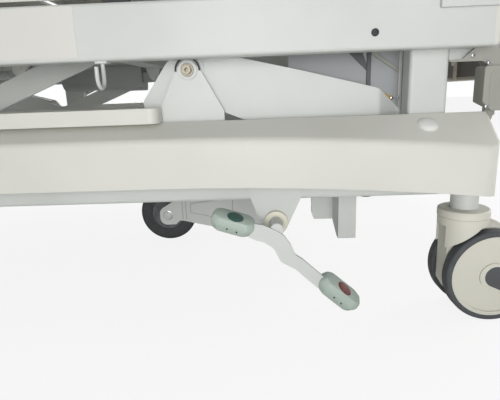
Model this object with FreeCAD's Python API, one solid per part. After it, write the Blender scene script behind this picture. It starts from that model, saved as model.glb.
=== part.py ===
import FreeCAD, Part
import math
import os

# Electric hospital bed at its real size, standing on its four casters with the lift lowered.
# +X is the head end, -Y the near side, +Z up. The origin is on the floor below the middle.

V = FreeCAD.Vector
os.makedirs("parts", exist_ok=True)

# Overall sizes
board_inner_x = 1045.0
board_thick = 28.0
bumper_reach = 12.0
bumper_r = 30.0
bumper_z = 500.0
bumper_h = 24.0
bumper_pin_r = 7.0
pole_x = 980.0
pole_bore_r = 10.0
deck_half_width = 425.0
rail_half_width = deck_half_width + 25.0
bumper_y = rail_half_width + 24.0

# Clearances
fit = 0.05
seat = 0.3

# Base frame and its casters
stem_head_x = 935.0
stem_foot_x = -715.0
base_tube_y = rail_half_width - 45.0
stem_y = base_tube_y + 23.0
stem_r = 21.0
stem_low_z = 180.0
spigot_r = 11.0
spigot_length = 46.0
base_tube_w = 60.0
base_tube_h = 60.0
base_tube_z = 203.0
tube_wall = 3.0
socket_wall = 6.0
base_cross_w = 50.0
hanger_x = 773.0
hanger_w = 34.0
hanger_y0 = 220.0
hanger_y1 = 300.0
hanger_low_z = 87.0
hanger_wall = 3.0
stop_w = 44.0
stop_thick = 8.0
stop_low_z = 107.0

# Twin wheel caster
caster_r = 75.0
caster_trail = 38.0
caster_width = 84.0
caster_wheel_w = 22.0
tyre_thick = 8.5
caster_top_r = 39.5
caster_axle_r = 6.0
caster_disc_dish = 3.0

# Moulded base cover
cover_y = base_tube_y + 73.0
cover_ridge_y = base_tube_y + 10.0
cover_low_z = 235.0
cover_edge_z = 308.0
cover_ridge_z = 330.0
cover_wall = 3.0
cover_droop_r = 4800.0
cover_flat = 330.0
cover_end_reach = 31.0
cover_inner_low_z = 268.0
cover_corner_r = 26.0
cover_edge_r = 12.0
cover_end_r = 8.0
end_cover_top_z = 272.0
end_cover_depth = 58.0

# Storage lids on the base cover
lid_x0 = 60.0
lid_x1 = 452.0
lid_notch_x = 395.0
lid_y0 = base_tube_y + 35.0
lid_notch_y = base_tube_y
lid_y1 = base_tube_y - 115.0
lid_height = 24.0
lid_corner_r = 14.0

# Lift linkage
lift_pivot_x = 498.0
lift_pivot_z = 410.0
lift_spacing = 889.0
lift_post_dx = 376.0
lift_post_dz = -120.0
bracket_y = base_tube_y - 1.0
bracket_thick = 8.0
arm_plate_y = bracket_y - 12.0
arm_plate_thick = 6.0
arm_inner_y = arm_plate_y - 26.0
arm_boss_r = 25.0
arm_bolt_r = 8.0
torque_tube_r = 24.0
lever_length = 110.0
lever_start = 236.0
lift_reach = 430.0
lever_plate_thick = 8.0
lever_gap = 15.0

# Upper frame
rail_x1 = 948.5
rail_x0 = -1005.0
foot_cross_inset = 60.0
rail_w = 40.0
rail_z = 425.0
rail_h = 80.0
post_w = 60.0
post_d = 40.0
post_low_z = 270.0
cross_z = 446.0
cross_h = 40.0
cross_w = 40.0
cap_thick = 8.5
brace_w = 38.0
brace_thick = 6.0
brace_angle = 24.0
hook_x = 376.0
hook_wire_r = 3.0

# Mattress deck
deck_z = 516.0
deck_thick = 30.0
deck_skin = 4.0
hinge_gap = 20.0
hinge_tube_r = 11.0
hinge_eye_r = 15.0
back_hinge_x = 150.0
back_end_x = 935.0
thigh_hinge_x = -90.0
calf_hinge_x = -440.0
calf_end_x = -995.0
deck_rest_inset = 60.0

# Actuators
actuator_body_r = 30.0
actuator_rod_r = 10.0
actuator_body_length = 250.0
motor_length = 110.0
motor_w = 62.0
lug_w = 26.0
lug_hole_r = 6.0
lever_pin_r = 5.0
pin_slack = 0.6
actuator_reach = 420.0
lift_swing = 68.0
back_swing = 70.0
knee_swing = 35.0
deck_actuator_y = 120.0
back_lever_start = 235.0
knee_lever_start = 287.5
knee_reach = 380.0

# Pedals and brake shaft
shaft_x = 631.0
shaft_z = 167.5
shaft_r = 10.5
bushing_r = 14.0
bushing_flange_r = 19.0
bushing_flange = 7.0
brake_plate_thick = 6.0
pedal_thick = 6.0
pedal_y0 = cover_y + 13.0
pad_length = 67.0
pad_width = 33.0
pad_thick = 21.0
pad_tilt = 8.0
pad_in = 5.0
cam_nose_r = 15.0

# Fifth wheel
fifth_x = 362.0
fifth_z = 75.0
fifth_r = 72.0
fifth_pivot_x = 690.0
fifth_pivot_z = 165.0
fifth_pin_r = 8.0
fifth_fork_y = 45.0
fifth_plate = 4.0
fifth_wheel_w = 56.0
fifth_tyre_thick = 30.0
fifth_bridge_z = 103.0
fifth_cam_slack = 1.2

# Side guards
guard_y = rail_half_width + 24.0
guard_x0 = -460.0
guard_x1 = 800.0
guard_low_z = 560.0
guard_top_z = 900.0
guard_bar_w = 18.0
guard_bar_h = 34.0
guard_post_r = 7.0
guard_posts = 7
guard_arms = 3
guard_arm_x0 = -300.0
guard_arm_x1 = 640.0
guard_arm = 150.0
guard_arm_w = 18.0
guard_arm_d = 16.0
guard_pivot_rise = 17.0
guard_pin_r = 4.0

# End boards
board_low_z = 380.0
board_top_z = 960.0
board_half_width = rail_half_width - 10.0
board_corner_r = 70.0
board_border = 46.0
board_panel_depth = 6.0
board_peg_r = 10.0
board_peg_y = 300.0
board_peg_inset = 22.0
board_socket_wall = 5.0
board_socket_z0 = 432.0
board_socket_z1 = 492.0

# Junction box
box_x0 = 954.0
box_x1 = 1035.0
box_y0 = rail_half_width - 30.0
box_depth = 32.0
box_slope = 13.0
box_low_z = 331.0
box_high_z = 399.0
gland_x = 972.0
grommet_x = 998.0
gland_r = 8.8
cable_r = 3.5

sides = ((-1.0, "near"), (1.0, "far"))
ends = ((1.0, "head"), (-1.0, "foot"))


def box(x0, x1, y0, y1, z0, z1):
    return Part.makeBox(abs(x1 - x0), abs(y1 - y0), abs(z1 - z0), V(min(x0, x1), min(y0, y1), min(z0, z1)))


def rod(start, end, r, bore=0.0):
    axis = end - start
    solid = Part.makeCylinder(r, axis.Length, start, axis)
    if bore:
        solid = solid.cut(Part.makeCylinder(bore, axis.Length + 2.0, start - axis.normalize(), end - start))
    return solid


def along_y(x, z, y0, y1, r, bore=0.0):
    low, high = min(y0, y1), max(y0, y1)
    return rod(V(x, low, z), V(x, high, z), r, bore)


def upright(x, y, z0, z1, r, bore=0.0):
    return rod(V(x, y, z0), V(x, y, z1), r, bore)


def outline(points, radii, place):
    # A closed outline with its corners rounded, as one face in the plane that place gives.
    count = len(points)
    sizes = radii if isinstance(radii, (list, tuple)) else [radii] * count
    edges = []
    last = None
    first = None
    for i in range(count):
        here = FreeCAD.Vector(points[i][0], points[i][1], 0)
        before = FreeCAD.Vector(points[i - 1][0], points[i - 1][1], 0) - here
        after = FreeCAD.Vector(points[(i + 1) % count][0], points[(i + 1) % count][1], 0) - here
        turn = math.pi - before.getAngle(after)
        setback = sizes[i] * math.tan(turn / 2.0)
        before.normalize()
        after.normalize()
        into = here + before * setback
        out = here + after * setback
        if last is not None and (into - last).Length > 1e-6:
            edges.append(Part.LineSegment(place(last), place(into)).toShape())
        if first is None:
            first = into
        if sizes[i] > 0:
            bisector = (before + after).normalize()
            reach = sizes[i] / math.cos(turn / 2.0) - sizes[i]
            edges.append(Part.Arc(place(into), place(here + bisector * reach), place(out)).toShape())
            last = out
        else:
            last = here
    if (first - last).Length > 1e-6:
        edges.append(Part.LineSegment(place(last), place(first)).toShape())
    return Part.Face(Part.Wire(edges))


def plate_xz(points, radii, y0, y1, holes=()):
    # A flat plate standing in the XZ plane, from y0 to y1, with round holes (x, z, r).
    low, high = min(y0, y1), max(y0, y1)
    solid = outline(points, radii, lambda p: V(p.x, low, p.y)).extrude(V(0, high - low, 0))
    for x, z, r in holes:
        solid = solid.cut(along_y(x, z, low - 1, high + 1, r))
    return solid


def plate_xy(points, radii, z0, z1):
    return outline(points, radii, lambda p: V(p.x, p.y, z0)).extrude(V(0, 0, z1 - z0))


def plate_yz(points, radii, x0, x1):
    return outline(points, radii, lambda p: V(x0, p.x, p.y)).extrude(V(x1 - x0, 0, 0))


def rect(a0, a1, b0, b1):
    return [(a0, b0), (a1, b0), (a1, b1), (a0, b1)]


def tube_x(x0, x1, y0, y1, z0, z1, wall, corner=6.0):
    outer = plate_yz(rect(y0, y1, z0, z1), corner, x0, x1)
    inner = plate_yz(rect(y0 + wall, y1 - wall, z0 + wall, z1 - wall), corner - wall, x0, x1)
    return outer.cut(inner)


def tube_y(x0, x1, y0, y1, z0, z1, wall, corner=6.0):
    outer = plate_xz(rect(x0, x1, z0, z1), corner, y0, y1)
    inner = plate_xz(rect(x0 + wall, x1 - wall, z0 + wall, z1 - wall), corner - wall, y0, y1)
    return outer.cut(inner)


def tube_z(x0, x1, y0, y1, z0, z1, wall, corner=6.0):
    outer = plate_xy(rect(x0, x1, y0, y1), corner, z0, z1)
    inner = plate_xy(rect(x0 + wall, x1 - wall, y0 + wall, y1 - wall), corner - wall, z0, z1)
    return outer.cut(inner)


def circles(shape, r):
    # The full circular edges of one radius.
    return [e for e in shape.Edges if abs(e.Length - 2 * math.pi * r) < 1e-3]


def mirrored(shape):
    return shape.mirror(V(0, 0, 0), V(0, 1, 0))


def on_side(shape, side):
    # Shapes are drawn on the near side; the far one is its mirror image.
    return shape if side < 0 else mirrored(shape)


def joined(shapes):
    solid = shapes[0].multiFuse(shapes[1:]) if len(shapes) > 1 else shapes[0]
    return solid.removeSplitter()


def export(name, *shapes):
    solids = [s for shape in shapes for s in shape.Solids]
    whole = solids[0] if len(solids) == 1 else Part.makeCompound(solids)
    whole.exportStep("parts/" + name + ".step")


# Base frame

def base_frame():
    y0, y1 = -base_tube_y - base_tube_w / 2, -base_tube_y + base_tube_w / 2
    z1 = base_tube_z + base_tube_h
    reach = stem_r + socket_wall
    parts = []
    for side, _ in sides:
        tube = tube_x(stem_foot_x + reach, stem_head_x - reach, y0, y1, base_tube_z, z1, tube_wall)
        parts.append(on_side(tube, side))
    mount_x = lift_tip().x - lift_reach
    places = [stem_foot_x + reach + base_cross_w, mount_x, fifth_pivot_x, stem_head_x - reach - base_cross_w]
    for x, width in [(x, base_cross_w) for x in places] + [(hanger_x, hanger_w)]:
        parts.append(tube_y(x - width / 2, x + width / 2, y1, -y1, base_tube_z, z1, tube_wall))
    for side, _ in sides:
        for x in (stem_head_x, stem_foot_x):
            parts.append(upright(x, side * stem_y, base_tube_z, z1, stem_r + socket_wall, stem_r))
    export("base_frame", *parts)


def caster_stems():
    z1 = base_tube_z + base_tube_h
    stems = []
    for side, _ in sides:
        for x in (stem_head_x, stem_foot_x):
            stems.append(upright(x, side * stem_y, stem_low_z, z1 - 2.0, stem_r))
            stems.append(upright(x, side * stem_y, stem_low_z - spigot_length, stem_low_z, spigot_r))
    export("caster_stems", *stems)


def hangers():
    # Channel brackets hang below a cross tube, each with a stop plate on its inner side.
    x0, x1 = hanger_x - hanger_w / 2, hanger_x + hanger_w / 2
    profile = [(-hanger_y1, base_tube_z), (-hanger_y0, base_tube_z), (-hanger_y0, hanger_low_z + 21),
               (-hanger_y1 + 20, hanger_low_z), (-hanger_y1, hanger_low_z)]
    channel = plate_yz(profile, [0, 0, 8, 6, 3], x0, x1)
    channel = channel.cut(box(x0 + hanger_wall, x1 - hanger_wall, -hanger_y1 + hanger_wall, -hanger_y0 + 1,
                              hanger_low_z - 1, base_tube_z - hanger_wall))
    points = [(x0 - stop_w, base_tube_z), (x0 - stop_w, stop_low_z + 14), (x0 - stop_w + 5, stop_low_z),
              (x0, stop_low_z), (x0, base_tube_z)]
    stop = plate_xz(points, [2, 6, 4, 0, 0], -hanger_y0 - stop_thick, -hanger_y0)
    return [on_side(shape, side) for shape in (channel, stop) for side, _ in sides]


def fifth_mount():
    # Two cheeks below a cross tube hold the pin of the fifth wheel arm.
    x, z = fifth_pivot_x, fifth_pivot_z
    y0 = -fifth_fork_y - 2.0
    points = [(x - 24, base_tube_z), (x - 15, z - 15), (x + 15, z - 15), (x + 24, base_tube_z)]
    cheek = plate_xz(points, [0, 14, 14, 0], y0 - 6.0, y0, [(x, z, fifth_pin_r)])
    pin = along_y(x, z, y0 - 9.0, -y0 + 9.0, fifth_pin_r)
    return [on_side(cheek, side) for side, _ in sides] + [pin]


# Casters

def caster_body(x, y, trail):
    # A cap on the stem, a web between the two wheels and a shoulder over each of them.
    neck = caster_width / 2 - caster_wheel_w - 1.5
    axle_x = x + trail
    way = 1.0 if trail > 0 else -1.0
    low = stem_low_z - 26.0
    groove = stem_low_z - 13.5
    spigot = upright(x, y, stem_low_z - spigot_length - 2, stem_low_z, spigot_r + fit)
    head = upright(x, y, groove + 1.0, stem_low_z - seat, caster_top_r)
    head = head.makeFillet(3.0, [g for g in circles(head, caster_top_r) if g.CenterOfMass.z > groove + 2])
    cap = joined([head, upright(x, y, groove, groove + 1.0, caster_top_r - 2.0),
                  upright(x, y, low, groove, caster_top_r - 1.0)]).cut(spigot)
    arch = plate_xz([(x + way * u, z) for u, z in ((-41, low), (-41, 113), (15.4, low))], 0, y - 60, y + 60)
    crown = upright(x, y, 100, low, caster_top_r - 1.0).common(arch)
    crown = crown.cut(box(x - 60, x + 60, y - neck, y + neck, 90, low + 1))
    side = [(-30, low), (-30, 54), (-18, 34), (30, 34), (68, 56), (82, 110), (68, 148), (54, low)]
    web = plate_xz([(x + way * u, z) for u, z in side], [0, 14, 10, 20, 20, 24, 12, 4], y - neck, y + neck)
    web = web.cut(spigot).cut(along_y(axle_x, caster_r, y - neck - 1, y + neck + 1, caster_axle_r + fit))
    return [cap, crown, web]


def caster_wheels(x, y, trail):
    axle_x = x + trail
    discs, tyres = [], []
    for hand in (-1.0, 1.0):
        outer = y + hand * caster_width / 2
        inner = outer - hand * caster_wheel_w
        tyre_r = caster_r - tyre_thick
        tyre = along_y(axle_x, caster_r, inner, outer, caster_r, tyre_r)
        tyre = tyre.makeFillet(4.0, circles(tyre, caster_r))
        disc = along_y(axle_x, caster_r, inner, outer - hand * 1.0, tyre_r)
        dish = along_y(axle_x, caster_r, outer - hand * (1.0 + caster_disc_dish), outer + hand, tyre_r - 6, 22.0)
        tyres.append(tyre)
        discs.append(disc.cut(dish))
    reach = caster_width / 2 - caster_wheel_w
    discs.append(along_y(axle_x, caster_r, y - reach, y + reach, caster_axle_r))
    return discs, tyres


def casters():
    for end, end_name in ends:
        x = stem_head_x if end > 0 else stem_foot_x
        for side, side_name in sides:
            name = end_name + "_" + side_name
            export("caster_body_" + name, *caster_body(x, side * stem_y, end * caster_trail))
            discs, tyres = caster_wheels(x, side * stem_y, end * caster_trail)
            export("caster_discs_" + name, *discs)
            export("caster_tyres_" + name, *tyres)


# Moulded covers

def drooped(section, x_mid, reach):
    # Straight in the middle; towards both ends the section sinks along a long arc.
    parts = [section(x_mid - cover_flat, 0.0).extrude(V(2 * cover_flat, 0, 0))]
    for end, _ in ends:
        wires = []
        for i in range(5):
            run = reach * i / 4.0
            wires.append(section(x_mid + end * (cover_flat + run), run * run / (2 * cover_droop_r)).OuterWire)
        parts.append(Part.makeLoft(wires, True, False))
    return joined(parts)


def side_cover(side):
    # The outer edge and the skirt sink towards the ends while the ridge stays level.
    x_mid = (stem_head_x + stem_foot_x) / 2
    length = (stem_head_x - stem_foot_x) / 2 + cover_end_reach
    reach = length - cover_flat
    low, t = cover_low_z, cover_wall
    y0, y1 = -cover_y, -cover_ridge_y + t
    crest = -cover_ridge_y - t

    def skin(x, drop):
        points = [(y0, low - drop), (y0, cover_edge_z - drop), (crest, cover_ridge_z), (y1, cover_ridge_z),
                  (y1, low - drop)]
        return outline(points, [0, cover_edge_r, 0, 0, 0], lambda p: V(x, p.x, p.y))

    def hollow(x, drop):
        points = [(y0 + t, low - 60), (y0 + t, cover_edge_z - t - drop), (crest, cover_ridge_z - t),
                  (y1 - t, cover_ridge_z - t), (y1 - t, low - 60)]
        return outline(points, [0, cover_edge_r - t, 0, 0, 0], lambda p: V(x, p.x, p.y))

    outer, inner = drooped(skin, x_mid, reach), drooped(hollow, x_mid, reach)
    tops = [e for e in outer.Edges if abs(abs(e.CenterOfMass.x - x_mid) - length) < 1e-3
            and e.BoundBox.XLength < 1e-3 and e.CenterOfMass.z > cover_low_z + 30
            and e.BoundBox.YLength > 20]
    outer = outer.makeFillet(cover_end_r, tops)
    plan_in = [(x_mid - length + t, y0 + t), (x_mid + length - t, y0 + t),
               (x_mid + length - t, y1 - t), (x_mid - length + t, y1 - t)]
    corners = [(x_mid - length, y0), (x_mid + length, y0), (x_mid + length, y1), (x_mid - length, y1)]
    outer = outer.common(plate_xy(corners, [cover_corner_r, cover_corner_r, 0, 0], 100, 400))
    inner = inner.common(plate_xy(plan_in, [cover_corner_r - t, cover_corner_r - t, 0, 0], 100, 400))
    shell = outer.cut(inner)
    # The inner wall stops above the base tubes.
    shell = shell.cut(box(x_mid - length - 5, x_mid + length + 5, y1 - t - 12, y1 + 5, 100, cover_inner_low_z))
    return on_side(shell, side)


def end_cover(end):
    x_out = ((stem_head_x + stem_foot_x) / 2) + end * ((stem_head_x - stem_foot_x) / 2 + cover_end_reach)
    x_in = x_out - end * end_cover_depth
    y = cover_ridge_y - cover_wall - seat
    t = cover_wall
    z0, z1 = base_tube_z + 8, end_cover_top_z
    shell = box(x_in, x_out, -y, y, z0, z1)
    edges = [e for e in shell.Edges if abs(e.BoundBox.ZMin - z1) < 1e-6 and e.BoundBox.ZLength < 1e-6
             and e.BoundBox.YLength > 10 and abs(e.BoundBox.XMin - x_out) < 1e-6]
    shell = shell.makeFillet(14.0, edges)
    low = min(x_in - end * 5, x_out - end * t)
    high = max(x_in - end * 5, x_out - end * t)
    cavity = box(low, high, -y + t, y - t, z0 - 5, z1 - t)
    shell = shell.cut(cavity)
    # Notches in the end walls clear the caster sockets.
    for side, _ in sides:
        x = stem_head_x if end > 0 else stem_foot_x
        shell = shell.cut(upright(x, side * stem_y, 100, z1 - t - 2, stem_r + socket_wall + 1))
    return shell


def covers():
    for side, name in sides:
        export("side_cover_" + name, side_cover(side))
    for end, name in ends:
        export("end_cover_" + name, end_cover(end))
    lids = []
    for side, _ in sides:
        points = [(lid_x0, -lid_y0), (lid_x1, -lid_y0), (lid_x1, -lid_notch_y), (lid_notch_x, -lid_notch_y),
                  (lid_notch_x, -lid_y1), (lid_x0, -lid_y1)]
        lid = plate_xy(points, [lid_corner_r, lid_corner_r, 2, 6, lid_corner_r, lid_corner_r],
                       cover_ridge_z, cover_ridge_z + lid_height)
        edges = [e for e in lid.Edges if abs(e.BoundBox.ZMin - cover_ridge_z - lid_height) < 1e-6]
        lids.append(on_side(lid.makeFillet(1.5, edges), side))
    export("base_lids", *lids)


# Lift linkage

def lift_brackets():
    plates, bolts = [], []
    for back in (0.0, lift_spacing):
        x, z = lift_pivot_x - back, lift_pivot_z
        foot = base_tube_z + base_tube_h
        for side, _ in sides:
            points = [(x - 51, foot), (x + 55, foot), (x + 55, z - 65), (x + 18, z + 4), (x, z + 18),
                      (x - 17, z + 4), (x - 51, z - 65)]
            plate = plate_xz(points, [0, 0, 8, 8, 15, 8, 8], -bracket_y, -bracket_y + bracket_thick,
                             [(x, z, arm_bolt_r)])
            rib = box(x - 51, x + 55, -bracket_y, -bracket_y + 26, foot, foot + 5)
            plates.append(on_side(joined([plate, rib]), side))
            bolt = along_y(x, z, -bracket_y - 2, -arm_plate_y + arm_plate_thick + 10, arm_bolt_r)
            head = along_y(x, z, -bracket_y - 10, -bracket_y, 6.5, 3.2)
            washer = along_y(x, z, -bracket_y - 2, -bracket_y, 9.5)
            bolts.append(on_side(joined([bolt, washer, head]), side))
    export("lift_brackets", *plates)
    export("lift_pivot_bolts", *bolts)


def arm_sheet(x, z):
    # One bent sheet: its outer run passes the bracket, a joggle takes it behind the post.
    px, pz = x + lift_post_dx, z + lift_post_dz
    y0, y1 = -arm_plate_y, -arm_inner_y
    t = arm_plate_thick
    plan = [(x - 90, y0), (x + 306, y0), (x + 340, y1), (px + 50, y1), (px + 50, y1 + t), (x + 337, y1 + t),
            (x + 303, y0 + t), (x - 90, y0 + t)]
    bend = plate_xy(plan, [0, 10, 4, 0, 0, 10, 4, 0], z - 250, z + 60)
    shape = [(x - 60, z - 72), (x - 82, z - 52), (x - 30, z + 20), (x + 10, z + 27), (x + 59, z + 22),
             (x + 178, z - 6), (x + 304, z - 38.5), (px - 22, pz + 40), (px + 24, pz + 18), (px + 18, pz - 26),
             (px - 40, pz - 20), (x + 180, z - 118), (x + 40, z - 62)]
    side = plate_xz(shape, [14, 14, 30, 20, 30, 60, 30, 10, 20, 20, 40, 60, 40], y0 - 2, y1 + t + 2)
    sheet = bend.common(side)
    boss = along_y(x, z, y0 - 3.6, y1 - 8.0, arm_boss_r)
    eye = along_y(px, pz, y1 - 3.6, y1 + t + 6, 22.0)
    sheet = joined([sheet, boss, eye])
    sheet = sheet.cut(along_y(x, z, y0 - 10, y1, arm_bolt_r + fit))
    return sheet.cut(along_y(px, pz, y0, y1 + 30, arm_bolt_r + fit))


def lift_arm(x, z, levers):
    parts = [arm_sheet(x, z), mirrored(arm_sheet(x, z))]
    cut_y = arm_plate_y - arm_plate_thick - 10 + 1
    parts.append(along_y(x, z, -cut_y, cut_y, torque_tube_r, torque_tube_r - 3))
    if levers:
        angle = math.radians(lever_start)
        tip = V(x + lever_length * math.cos(angle), 0, z + lever_length * math.sin(angle))
        for hand in (-1.0, 1.0):
            y0 = hand * (lever_gap + lever_plate_thick) if hand < 0 else lever_gap
            lever = lever_plate(x, z, tip, y0, lever_plate_thick, torque_tube_r + 8)
            parts.append(lever.cut(along_y(x, z, -50, 50, torque_tube_r)))
        pin = along_y(tip.x, tip.z, -lever_gap - lever_plate_thick - 4, lever_gap + lever_plate_thick + 4, lever_pin_r)
        parts.append(pin)
    return parts


def lever_plate(x, z, tip, y0, thick, root_r):
    # A tapered plate between a round root and a round tip.
    direction = V(tip.x - x, 0, tip.z - z)
    normal = V(-direction.z, 0, direction.x).normalize()
    low = V(x, y0, z)
    end = V(tip.x, y0, tip.z)
    corners = [low + normal * root_r, end + normal * 15.0, end - normal * 15.0, low - normal * root_r]
    wire = Part.makePolygon(corners + [corners[0]])
    body = Part.Face(wire).extrude(V(0, thick, 0))
    root = along_y(x, z, y0, y0 + thick, root_r)
    nose = along_y(tip.x, tip.z, y0, y0 + thick, 15.0)
    plate = joined([body, root, nose])
    return plate.cut(along_y(tip.x, tip.z, y0 - 1, y0 + thick + 1, lever_pin_r))


def lift_arms():
    export("lift_arm_head", *lift_arm(lift_pivot_x, lift_pivot_z, True))
    export("lift_arm_foot", *lift_arm(lift_pivot_x - lift_spacing, lift_pivot_z, False))


# Actuators

def swing_rise(length, swing):
    # How far a lever pin dips between the two ends of a swing that is even about the vertical.
    return length * (1.0 - math.cos(math.radians(swing / 2.0)))


def actuator(name, rear_x, front_x, z, y, rise):
    # Motor block and tube on the rear pin, and a rod whose slotted nose takes the lever pin.
    way = 1.0 if front_x > rear_x else -1.0
    length = abs(front_x - rear_x)
    lug = plate_xz([(-13, -13), (40, -13), (40, 13), (-13, 13)], [13, 0, 0, 13], -lug_w / 2, lug_w / 2,
                   [(0, 0, lug_hole_r + fit)])
    motor = plate_yz(rect(-motor_w / 2, motor_w / 2, -34, 34), 12, 30, 30 + motor_length)
    tube = rod(V(30 + motor_length, 0, 0), V(actuator_body_length, 0, 0), actuator_body_r)
    tube = tube.cut(rod(V(actuator_body_length - 90, 0, 0), V(actuator_body_length + 1, 0, 0),
                        actuator_rod_r + fit))
    body = joined([lug, motor, tube])
    half = rise / 2.0 + lever_pin_r + pin_slack
    shaft = rod(V(actuator_body_length - 80, 0, 0), V(length - 18, 0, 0), actuator_rod_r)
    nose = plate_xz(rect(length - 24, length + 15, -half - 8, half + 8), 8, -10, 10)
    across = lever_pin_r + pin_slack + 1.5
    slot = plate_xz(rect(length - across, length + across, -half, half), across - 0.5, -11, 11)
    rod_solid = joined([shaft, nose.cut(slot)])
    turn = 0.0 if way > 0 else 180.0
    place = FreeCAD.Placement(V(rear_x, y, z), FreeCAD.Rotation(V(0, 0, 1), turn))
    for solid in (body, rod_solid):
        solid.Placement = place.multiply(solid.Placement)
    export(name + "_body", body)
    export(name + "_rod", rod_solid)


def lever_tip(x, z, length, angle):
    turn = math.radians(angle)
    return V(x + length * math.cos(turn), 0, z + length * math.sin(turn))


def rear_mount(pin, y, x_face, z_face, below):
    # Two cheeks and a pin that carry an actuator's rear lug.
    cheeks = []
    for hand in (-1.0, 1.0):
        y0 = y + hand * (lug_w / 2 + 0.5)
        y1 = y0 + hand * 5.0
        tip = pin.z + (13 if below else -13)
        points = [(x_face - 18, z_face), (x_face + 18, z_face), (pin.x + 12, pin.z), (pin.x, tip),
                  (pin.x - 12, pin.z)]
        cheek = plate_xz(points, [0, 0, 6, 6, 6], y0, y1)
        cheeks.append(cheek.cut(along_y(pin.x, pin.z, y - 40, y + 40, lug_hole_r)))
    cheeks.append(along_y(pin.x, pin.z, y - lug_w / 2 - 9, y + lug_w / 2 + 9, lug_hole_r))
    return cheeks


def lift_tip():
    return lever_tip(lift_pivot_x, lift_pivot_z, lever_length, lever_start)


def base_brackets():
    rise = swing_rise(lever_length, lift_swing)
    tip = lift_tip()
    z = tip.z - rise / 2.0
    rear_x = tip.x - lift_reach
    actuator("lift_actuator", rear_x, tip.x, z, 0.0, rise)
    mount = rear_mount(V(rear_x, 0, z), 0.0, rear_x, base_tube_z + base_tube_h, True)
    export("base_brackets", *(hangers() + fifth_mount() + mount))


def deck_actuators():
    mounts = []
    cases = (("back_actuator", back_hinge_x, back_lever_start, back_swing, -1.0, actuator_reach),
             ("knee_actuator", thigh_hinge_x, knee_lever_start, knee_swing, 1.0, knee_reach))
    for name, hinge_x, start, swing, way, reach in cases:
        rise = swing_rise(lever_length, swing)
        tip = lever_tip(hinge_x, deck_z + deck_thick / 2, lever_length, start)
        z = tip.z - rise / 2.0
        rear_x = tip.x + way * reach
        y = way * deck_actuator_y
        actuator(name, rear_x, tip.x, z, y, rise)
        mounts += rear_mount(V(rear_x, 0, z), y, rear_x, cross_z, False)
    return mounts


# Upper frame

def deck_rear_x(hinge_x, start, way, reach):
    return lever_tip(hinge_x, 0, lever_length, start).x + way * reach


def upper_frame():
    y0, y1 = -rail_half_width, -rail_half_width + rail_w
    rails, caps = [], []
    for side, _ in sides:
        rails.append(on_side(tube_x(rail_x0, rail_x1, y0, y1, rail_z, rail_z + rail_h, 2.5, 5.0), side))
        for x, way in ((rail_x1, 1.0), (rail_x0, -1.0)):
            flange = plate_yz(rect(y0, y1, rail_z, rail_z + rail_h), 5, min(x, x + way * cap_thick),
                              max(x, x + way * cap_thick))
            edges = [e for e in flange.Edges if abs(e.CenterOfMass.x - x - way * cap_thick) < 1e-3]
            caps.append(on_side(flange.makeFillet(2.5, edges), side))
    export("frame_rails", *rails)
    export("rail_end_caps", *caps)
    crosses = []
    post_x = lift_pivot_x + lift_post_dx
    places = (rail_x0 + foot_cross_inset, deck_rear_x(back_hinge_x, back_lever_start, -1.0, actuator_reach),
              deck_rear_x(thigh_hinge_x, knee_lever_start, 1.0, knee_reach), post_x)
    for x in places:
        # The head tube ends at the posts, the others at the rails.
        end = y1 + post_d if x == post_x else y1
        crosses.append(tube_y(x - cross_w / 2, x + cross_w / 2, end, -end, cross_z, cross_z + cross_h, 2.5))
    export("frame_cross_tubes", *(crosses + deck_actuators()))


def posts():
    y0 = -rail_half_width + rail_w
    parts, braces = [], []
    for back in (0.0, lift_spacing):
        x = lift_pivot_x - back + lift_post_dx
        z = lift_pivot_z + lift_post_dz
        for side, _ in sides:
            post = tube_z(x - post_w / 2, x + post_w / 2, y0, y0 + post_d, post_low_z, rail_z + rail_h - 20, 2.5)
            post = post.cut(along_y(x, z, y0 - 1, y0 + post_d + 1, arm_bolt_r))
            bolt = along_y(x, z, y0 - 1.5, y0 + post_d + 16, arm_bolt_r)
            bolt = joined([bolt, along_y(x, z, y0 - 1.5, y0, 13.0)])
            parts.append(on_side(post, side))
            parts.append(on_side(bolt, side))
    x0 = lift_pivot_x - lift_spacing + lift_post_dx + post_w / 2
    z0 = post_low_z + 116.0
    slope = math.tan(math.radians(brace_angle))
    z1 = rail_z + 60
    x1 = x0 + (z1 - z0) / slope
    lift = brace_w / math.cos(math.radians(brace_angle))
    for side, _ in sides:
        strip = plate_xz([(x0, z0), (x0, z0 + lift), (x1, z1 + lift), (x1, z1)], 0, y0, y0 + brace_thick)
        strip = strip.cut(box(x0, x1 + 10, y0 - 1, y0 + 20, rail_z + 56, rail_z + 200))
        braces.append(on_side(strip, side))
    export("frame_posts", *(parts + braces))


def hooks():
    # Bent wire hooks below the rails take drainage bags.
    parts = []
    for x in (hook_x, hook_x - 700.0):
        for side, _ in sides:
            y = -rail_half_width + 12
            plate = box(x - 9, x + 9, y - 8, y + 12, rail_z - 3, rail_z)
            r = 14.0
            low = rail_z - 25
            wire = Part.Wire([Part.LineSegment(V(x, y, rail_z - 3), V(x, y, low)).toShape(),
                              Part.Arc(V(x, y, low), V(x, y - r, low - r), V(x, y - 2 * r, low)).toShape(),
                              Part.LineSegment(V(x, y - 2 * r, low), V(x, y - 2 * r, low + 16)).toShape()])
            ring = Part.Wire(Part.makeCircle(hook_wire_r, V(x, y, rail_z - 3), V(0, 0, 1)))
            hook = wire.makePipeShell([ring], True, False)
            parts.append(on_side(joined([plate, hook]), side))
    export("drainage_hooks", *parts)


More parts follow.
